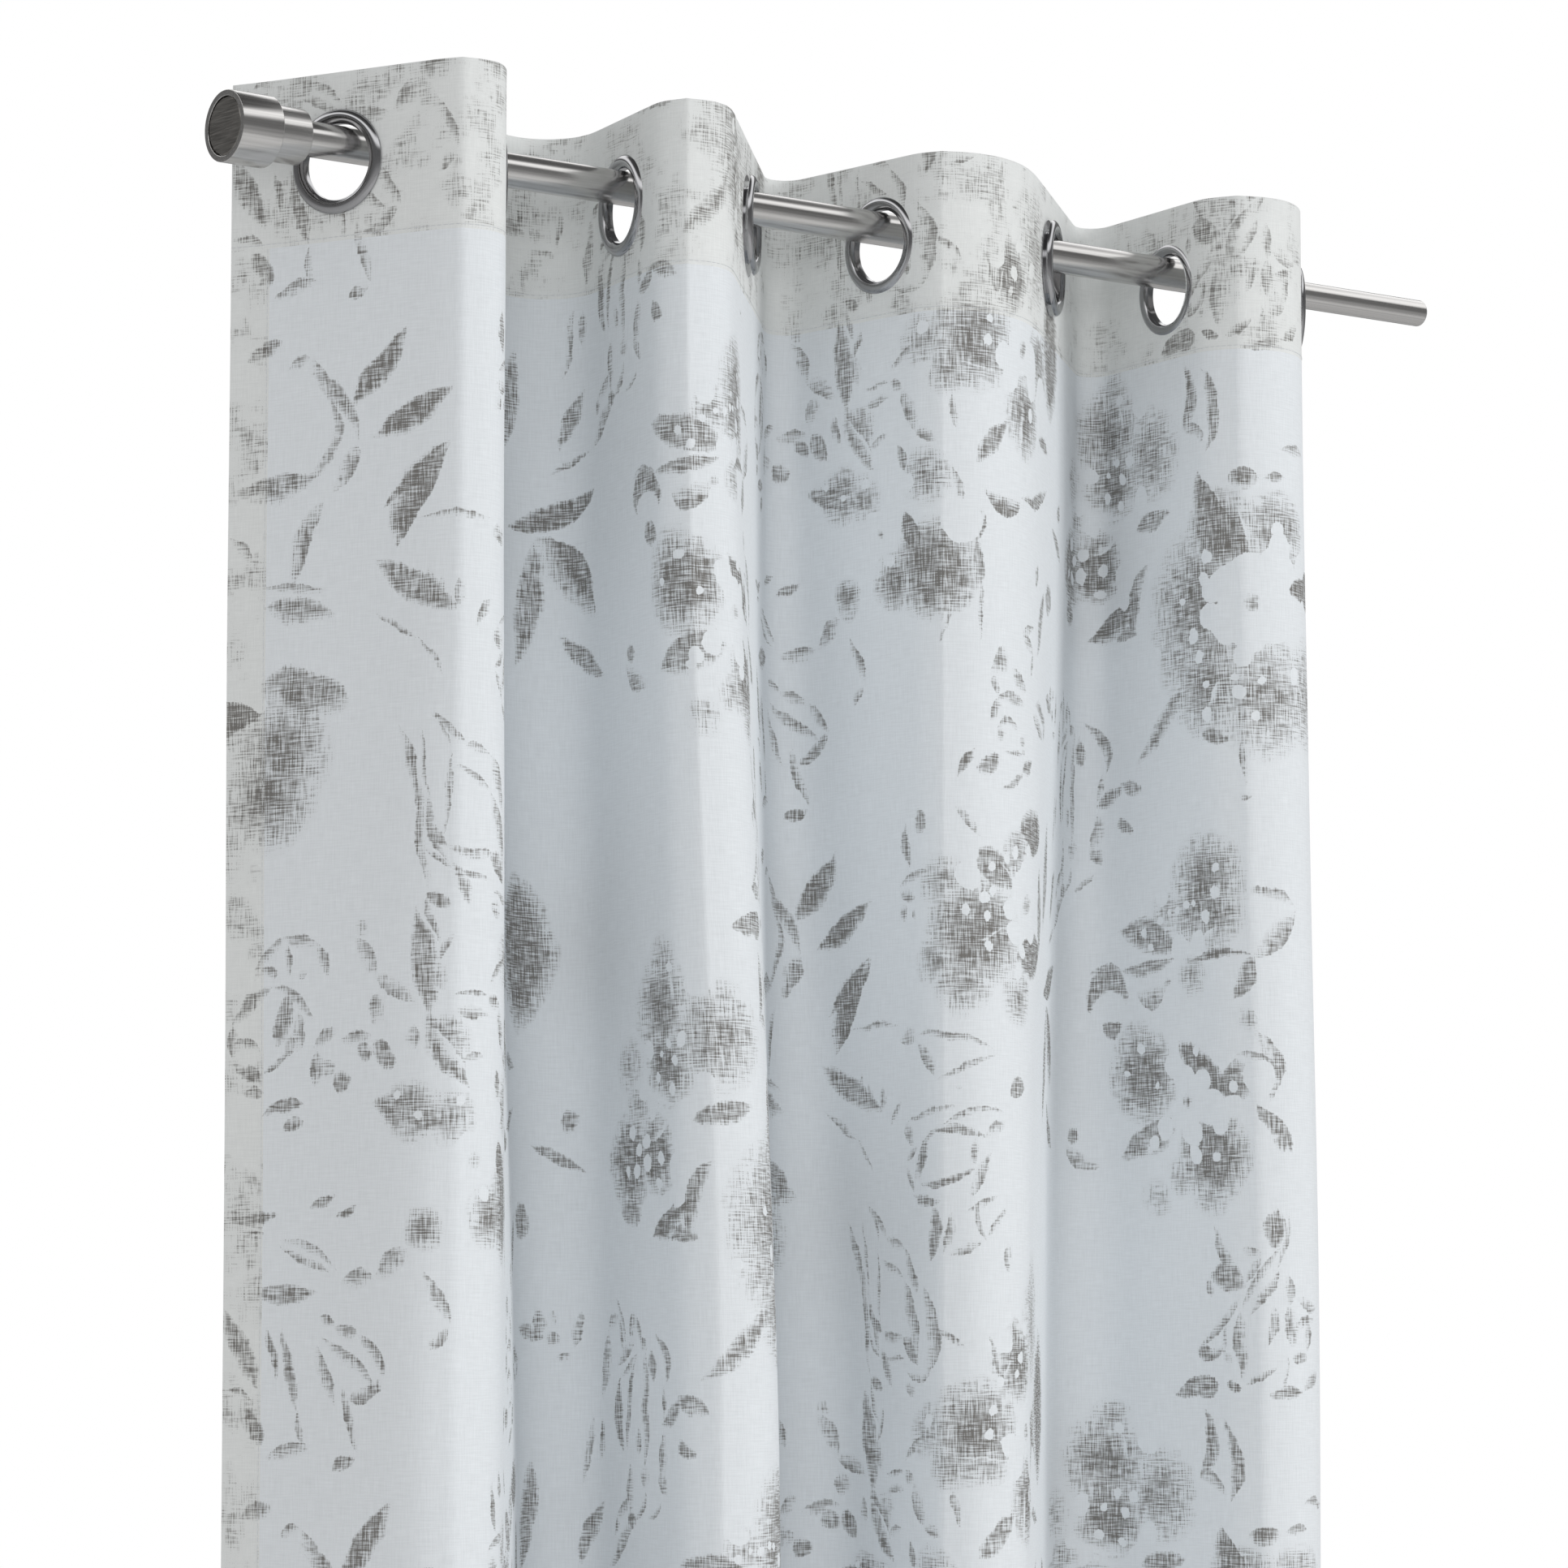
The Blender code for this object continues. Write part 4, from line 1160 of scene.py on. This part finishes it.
class Print:
    """Draws the shapes that reach one zone of the repeat."""

    def __init__(self, nodes, place, zone):
        """place is the point on the cloth in millimetres across and down, zone the zone's column and row."""
        self.nodes = nodes
        self.low = tuple(index * size - ZONE_MARGIN for index, size in zip(zone, ZONE_SIZE))
        self.high = tuple((index + 1) * size + ZONE_MARGIN for index, size in zip(zone, ZONE_SIZE))
        self.place = self.near_zone(place)

    def near_zone(self, place):
        """The place moved by whole repeats to the one nearest the zone."""
        across, down = REPEAT_ACROSS
        first = (self.low[0] + self.high[0] - across) / 2
        top = (self.low[1] + self.high[1] - REPEAT_DOWN) / 2
        apart = self.nodes.add("SeparateXYZ", {"Vector": place})
        columns = self.nodes.math("MULTIPLY_ADD", apart, 1.0 / across, -first / across)
        whole = self.nodes.math("FLOOR", columns)
        moved = self.nodes.vector("MULTIPLY_ADD", whole, (-across, -down, 0.0), place)
        end = (first + across, top + REPEAT_DOWN, 1.0)
        return self.nodes.vector("WRAP", moved, end, (first, top, -1.0))

    def moves(self, low, high):
        """The whole repeats that bring the box from low to high onto the zone."""
        for i in (-1, 0, 1):
            for j in (-2, -1, 0, 1, 2):
                move = (REPEAT_ACROSS[0] * i, REPEAT_ACROSS[1] * i + REPEAT_DOWN * j)
                if all(
                    low[axis] + move[axis] < self.high[axis] and high[axis] + move[axis] > self.low[axis]
                    for axis in (0, 1)
                ):
                    yield move

    def ramp(self, far, radius, inside, soft):
        """0 at the circle's edge and 1 at the given softness inside or outside it, and on past both.

        It isn't clamped, because a clamp is compiled last and would hold every shape's level at once.
        """
        way = -1.0 if inside else 1.0
        return self.nodes.math("MULTIPLY_ADD", far, way / soft, -way * radius / soft)

    def leaf(self, start, end, high, low, soft_high, soft_low):
        """The ink between two arcs from start to end, wherever it reaches the zone."""
        reach = max(abs(high), abs(low))
        box_low = tuple(min(a, b) - reach for a, b in zip(start, end))
        box_high = tuple(max(a, b) + reach for a, b in zip(start, end))
        for move in self.moves(box_low, box_high):
            ends = [tuple(a + b for a, b in zip(point, move)) for point in (start, end)]
            ramps = []
            for bulge, soft, upper in ((high, soft_high, True), (low, soft_low, False)):
                centre, radius, left = signed_circle(*ends, bulge)
                ramps.append(self.ramp(self.nodes.distance(self.place, centre), radius, left == upper, soft))
            yield self.nodes.math("MINIMUM", *ramps)

    def stroke(self, start, end, bulge, width):
        """The ink of one tapering stroke, sharp on its outer side and shaded off on its inner side."""
        outward = 1.0 if bulge > 0.0 else -1.0
        outer = bulge + outward * width / 2
        inner = bulge - outward * SHADING * width
        edges = (outer, inner, STROKE_EDGE, SHADING * width)
        if outward < 0.0:
            edges = (inner, outer, SHADING * width, STROKE_EDGE)
        yield from self.leaf(start, end, *edges)

    def disc(self, centre, radius, soft):
        """A disc that fades out over its softness."""
        low = tuple(value - radius for value in centre)
        high = tuple(value + radius for value in centre)
        for move in self.moves(low, high):
            middle = tuple(a + b for a, b in zip(centre, move))
            yield self.ramp(self.nodes.distance(self.place, middle), radius, True, soft)

    def clouds(self, shapes):
        """Soft patches of ink."""
        for x, y, radius, soft in shapes:
            yield from self.disc((x, y), CLOUD_SPREAD * radius, CLOUD_SOFTNESS * soft)

    def leaves(self, shapes):
        """Leaves and shaded petals."""
        for x, y, end_x, end_y, high, low, soft_high, soft_low in shapes:
            edges = (LEAF_FULLNESS * high, LEAF_FULLNESS * low, soft_high, soft_low)
            yield from self.leaf((x, y), (end_x, end_y), *edges)

    def strokes(self, shapes, fullness):
        """Drawn lines."""
        for x, y, end_x, end_y, bulge, width in shapes:
            yield from self.stroke((x, y), (end_x, end_y), bulge, fullness * width)

    def discs(self, shapes, edge):
        """Round spots, all with the same softness."""
        for x, y, radius in shapes:
            yield from self.disc((x, y), radius, edge)

    def inked(self, shade):
        """Every shape of one shade of ink, one at a time."""
        for motif in MOTIFS.values():
            yield from self.clouds(motif.get(f"{shade} clouds", ()))
            yield from self.leaves(motif.get(f"{shade} leaves", ()))
            yield from self.strokes(motif.get(f"{shade} strokes", ()), STROKE_FULLNESS)

    def bare(self):
        """Every shape that stays bare cloth, one at a time."""
        for motif in MOTIFS.values():
            yield from self.discs(motif.get("petals", ()), DOT_EDGE)
            yield from self.discs(motif.get("dots", ()), DOT_EDGE)
            yield from self.strokes(motif.get("veins", ()), 1.0)

    def eyes(self):
        """Every flower's inked middle, one at a time."""
        for motif in MOTIFS.values():
            yield from self.discs(motif.get("eyes", ()), EYE_EDGE)

    def level(self, shapes):
        """The greatest of the shapes' levels, from 0 to 1. Each joins as it is made: few are held at once."""
        so_far = 0.0
        for shape in shapes:
            so_far = self.nodes.math("MAXIMUM", so_far, shape)
        return self.nodes.math("MINIMUM", so_far, 1.0)


def drawn_by_hand(nodes, place):
    """The place with the small waver of hand-drawn edges."""
    for scale, reach in WAVERS:
        shift = nodes.noise(place, scale, 1.0, "Color")
        moved = nodes.vector("MULTIPLY_ADD", shift, (2 * reach,) * 3, (-reach,) * 3)
        place = nodes.vector("ADD", place, moved)
    return place


def zone_print(zone):
    """The node group that says how much ink each point of one zone holds, from 0 to 1."""
    tree = bpy.data.node_groups.new("print", "ShaderNodeTree")
    tree.interface.new_socket(name="Place", in_out="INPUT", socket_type="NodeSocketVector")
    tree.interface.new_socket(name="Ink", in_out="OUTPUT", socket_type="NodeSocketFloat")
    nodes = Nodes(tree)
    pattern = Print(nodes, drawn_by_hand(nodes, tree.nodes.new("NodeGroupInput").outputs[0]), zone)
    middle = nodes.math("MULTIPLY", pattern.level(pattern.inked("middle")), MIDDLE_INK)
    inked = nodes.math("MAXIMUM", pattern.level(pattern.inked("deep")), middle)
    kept = nodes.math("SUBTRACT", 1.0, pattern.level(pattern.bare()))
    eyes = nodes.math("MULTIPLY", pattern.level(pattern.eyes()), EYE_INK)
    ink = nodes.math("MAXIMUM", nodes.math("MULTIPLY", inked, kept), eyes)
    nodes.join(tree.nodes.new("NodeGroupOutput").inputs[0], ink)
    return tree


def zone_at(across, down):
    """The zone of the repeat that holds a point of the cloth, in millimetres."""
    whole = math.floor(across / REPEAT_ACROSS[0])
    inside = (across - whole * REPEAT_ACROSS[0], (down - whole * REPEAT_ACROSS[1]) % REPEAT_DOWN)
    return tuple(int(value // size) for value, size in zip(inside, ZONE_SIZE))


# ---------------------------------------------------------------- materials


def shader_material(name):
    """A material with its Principled shader."""
    material = bpy.data.materials.new(name)
    material.use_nodes = True
    return material, material.node_tree.nodes["Principled BSDF"]


def brushed_metal(name, colour, roughness, streak_reach, streaks):
    """A brushed metal. streaks is how often the brushing changes along each axis, per metre."""
    material, shader = shader_material(name)
    nodes = Nodes(material.node_tree)
    own_place = nodes.add("TexCoord", {}, "Object")
    grain = nodes.noise(nodes.vector("MULTIPLY", own_place, streaks), 1.0, STREAK_DETAIL)
    level = nodes.span(grain, NOISE_LOW, NOISE_HIGH, 1.0 - streak_reach, 1.0 + streak_reach)
    nodes.join(shader.inputs["Base Color"], nodes.scaled(colour, level))
    nodes.join(shader.inputs["Roughness"], nodes.math("MULTIPLY", level, roughness))
    shader.inputs["Metallic"].default_value = 1.0
    return material


def polished_metal(name, colour, roughness):
    """A polished metal, a little hazy where it is handled."""
    material, shader = shader_material(name)
    nodes = Nodes(material.node_tree)
    haze = nodes.noise(nodes.add("TexCoord", {}, "Object"), HAZE_SCALE, HAZE_DETAIL)
    ends = [share * roughness for share in HAZE_REACH]
    shader.inputs["Base Color"].default_value = (*colour, 1.0)
    nodes.join(shader.inputs["Roughness"], nodes.span(haze, NOISE_LOW, NOISE_HIGH, *ends))
    shader.inputs["Metallic"].default_value = 1.0
    return material


def weave(nodes, place):
    """The streaks of the warp and the weft together, about 0 on average."""
    warp = nodes.noise(nodes.vector("MULTIPLY", place, WARP_STREAK), 1.0, STREAK_DETAIL)
    weft = nodes.noise(nodes.vector("MULTIPLY", place, WEFT_STREAK), 1.0, STREAK_DETAIL)
    return nodes.math("SUBTRACT", nodes.math("ADD", warp, weft), 1.0)


def inked_threads(nodes, strength, threads):
    """The ink as the threads take it up: only the raised threads hold ink where it is weak."""
    level = nodes.math("MULTIPLY_ADD", threads, HATCH_REACH, strength)
    taken = nodes.span(level, INK_FROM, INK_FULL, 0.0, 1.0)
    return nodes.math("MULTIPLY", taken, nodes.span(strength, 0.0, INK_FADE, 0.0, 1.0))


def ghost_of_behind(nodes, place, turned):
    """The print of the layer that is turned over behind this one, faint and blurred."""
    behind = nodes.vector("MULTIPLY", place, (*turned, 0.0))
    blots = nodes.noise(behind, GHOST_SCALE, 3.0)
    return nodes.span(blots, GHOST_FROM, GHOST_FULL, 0.0, GHOST_INK)


def woven_cloth(zone_group, turned):
    """The printed cloth of one zone. turned is how a layer behind it is turned over, or None. Where there is
    such a layer, the ground colour is darkened with painted shade for the light that two layers hold back.
    """
    material, shader = shader_material("printed_cloth")
    nodes = Nodes(material.node_tree)
    place = nodes.vector("MULTIPLY", nodes.add("UVMap", {}, uv_map=CLOTH_UV), (MM, MM, 0.0))
    threads = weave(nodes, place)
    strength = nodes.add("Group", {0: place}, node_tree=zone_group)
    if turned:
        strength = nodes.math("MAXIMUM", strength, ghost_of_behind(nodes, place, turned))
    ink = inked_threads(nodes, strength, threads)
    slubs = nodes.math("MULTIPLY_ADD", threads, SLUB_REACH, 1.0)
    # Painted shade: doubled cloth gets a darker, warmer ground colour in place of the light that two layers
    # hold back
    ground = nodes.scaled(DOUBLED_CLOTH_PAINTED_SHADE if turned else CLOTH_COLOUR, slubs)
    nodes.join(shader.inputs["Base Color"], nodes.mix(ink, ground, INK_COLOUR))
    bump = {"Strength": BUMP_STRENGTH, "Distance": BUMP_DEPTH, "Height": threads}
    nodes.join(shader.inputs["Normal"], nodes.add("Bump", bump))
    shader.inputs["Roughness"].default_value = CLOTH_ROUGHNESS
    return material


class ClothMaterials:
    """The materials of the printed cloth, each made once."""

    def __init__(self):
        self.prints = {}
        self.made = {}

    def material(self, zone, turned):
        """The material for one zone, and for how a layer behind it is turned over."""
        if zone not in self.prints:
            self.prints[zone] = zone_print(zone)
        if (zone, turned) not in self.made:
            self.made[zone, turned] = woven_cloth(self.prints[zone], turned)
        return self.made[zone, turned]

    def dress(self, piece, doubled):
        """Gives each face the material of its zone and of the layer behind it, which doubled tells."""
        printed = piece.data.uv_layers[CLOTH_UV].data
        slots = {}
        for face in piece.data.polygons:
            spots = [printed[loop].uv for loop in face.loop_indices]
            across, down = (sum(spot[axis] for spot in spots) / len(spots) for axis in (0, 1))
            key = (zone_at(MM * across, MM * down), doubled(across, down))
            if key not in slots:
                slots[key] = len(slots)
                piece.data.materials.append(self.material(*key))
            face.material_index = slots[key]


def plain_cloth(name, colour):
    """A plain matt cloth."""
    material, shader = shader_material(name)
    shader.inputs["Base Color"].default_value = (*colour, 1.0)
    shader.inputs["Roughness"].default_value = PLAIN_ROUGHNESS
    return material


# ---------------------------------------------------------------- surroundings


def make_floor():
    """A plain pale floor under the curtain."""
    floor_height = TOP_ABOVE_ROD - DROP - FLOOR_BELOW_HEM
    bpy.ops.mesh.primitive_plane_add(size=FLOOR_SIZE, location=(0.0, 0.0, floor_height))
    floor = bpy.context.object
    floor.name = "floor"
    floor.data.materials.append(plain_cloth("floor_paint", FLOOR_COLOUR))
    floor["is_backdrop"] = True


def make_camera():
    """The camera, in front of the curtain's left end and a little below the rod."""
    lens = bpy.data.cameras.new("camera")
    lens.lens = CAMERA_LENS
    lens.sensor_width = SENSOR
    camera = bpy.data.objects.new("camera", lens)
    bpy.context.scene.collection.objects.link(camera)
    camera.location = CAMERA_AT
    camera.rotation_euler = (math.pi / 2 + CAMERA_PITCH, 0.0, CAMERA_TURN)
    bpy.context.scene.camera = camera


def make_world():
    """White past the object, even light on matt surfaces, and bands for metal to mirror."""
    world = bpy.data.worlds.new("studio")
    world.use_nodes = True
    bpy.context.scene.world = world
    nodes = Nodes(world.node_tree)
    background = world.node_tree.nodes["Background"]
    height = nodes.add("SeparateXYZ", {"Vector": nodes.add("TexCoord", {}, "Generated")}, "Z")
    bands = nodes.add("ValToRGB", {"Fac": nodes.span(height, -1.0, 1.0, 0.0, 1.0)})
    ramp = bands.node.color_ramp
    while len(ramp.elements) < len(MIRROR_BANDS):
        ramp.elements.new(0.5)
    for element, (at, level) in zip(ramp.elements, MIRROR_BANDS):
        element.position = (at + 1.0) / 2.0
        element.color = (level, level, level, 1.0)
    path = nodes.add("LightPath", {})
    matt = nodes.mix(path, (MATT_LIGHT,) * 3, (1.0, 1.0, 1.0))
    is_glossy = path.node.outputs["Is Glossy Ray"]
    nodes.join(background.inputs["Color"], nodes.mix(is_glossy, matt, bands))
    background.inputs["Strength"].default_value = 1.0


def add_light(name, location, target, size, power):
    """A square area light facing the target."""
    lamp = bpy.data.lights.new(name, "AREA")
    lamp.shape = "SQUARE"
    lamp.size = size
    lamp.energy = power
    light = bpy.data.objects.new(name, lamp)
    bpy.context.scene.collection.objects.link(light)
    light.location = location
    light.visible_glossy = False
    light.rotation_euler = (Vector(target) - Vector(location)).to_track_quat("-Z", "Y").to_euler()


# ---------------------------------------------------------------- the object


def dress_cloth(drape):
    """All the textile pieces."""
    cloth = ClothMaterials()
    tape = plain_cloth("stiffener", STIFFENER_COLOUR)
    thread = plain_cloth("thread", THREAD_COLOUR)
    curtain = make_curtain(drape)
    left_hem = make_side_hem("left_hem", drape, 0.0, SIDE_HEM)
    right_hem = make_side_hem("right_hem", drape, FLAT_WIDTH, FLAT_WIDTH - SIDE_HEM)
    lower_hem = make_lower_hem(drape)
    header_tape = make_header_tape(drape)
    stitches = make_stitches(drape)
    looks = [
        (curtain, None, "printed_cloth", ("curtain_panel", "header_facing")),
        (left_hem, None, "printed_cloth", ("left_side_hem",)),
        (right_hem, None, "printed_cloth", ("right_side_hem",)),
        (lower_hem, None, "printed_cloth", ("bottom_hem",)),
        (header_tape, tape, "stiffener", ("header_stiffener",)),
        (stitches, thread, "printed_cloth", ()),
    ]
    for piece, material, slot, nodes in looks:
        if material:
            piece.data.materials.append(material)
        else:
            cloth.dress(piece, turned_behind)
        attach(piece, "root")
        if nodes:
            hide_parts(*nodes)
        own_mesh(piece)


def dress_metal():
    """The rod, the finial and the eyelets."""
    steel = brushed_metal("brushed_steel", *STEEL)
    dark_steel = brushed_metal("dark_brushed_steel", *DARK_STEEL)
    screw_steel = polished_metal("screw_steel", *SCREW_STEEL)
    chrome = polished_metal("dark_chrome", *DARK_CHROME)
    outer, inner = make_rod()
    head, inlay, set_screw = make_finial()
    looks = [
        (outer, steel, "brushed_steel", "rod_outer_tube", "root"),
        (inner, steel, "brushed_steel", "rod_inner_tube", "inner_tube"),
        (head, steel, "brushed_steel", "finial_body", "finial"),
        (inlay, dark_steel, "dark_brushed_steel", "finial_disc", "finial"),
        (set_screw, screw_steel, "screw_steel", "finial_grub_screw", "finial"),
    ]
    for ring, node, number in make_eyelets():
        looks.append((ring, chrome, "dark_chrome", node, "root" if number == 1 else f"eyelet_{number}"))
    for piece, material, slot, node, body in looks:
        piece.data.materials.append(material)
        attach(piece, body)
        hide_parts(node)


def write_sizes():
    """Works out the part's bounds before and after the looks; they are not written anywhere."""
    boxes = [[list(corner) for corner in bounds] for bounds in (CAD_BOUNDS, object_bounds())]


def main():
    bpy.context.scene.view_settings.view_transform = "Standard"
    make_camera()
    make_world()
    make_floor()
    for name, light in LIGHTS.items():
        add_light(name, *light)
    dress_cloth(Drape())
    dress_metal()
    write_sizes()


main()
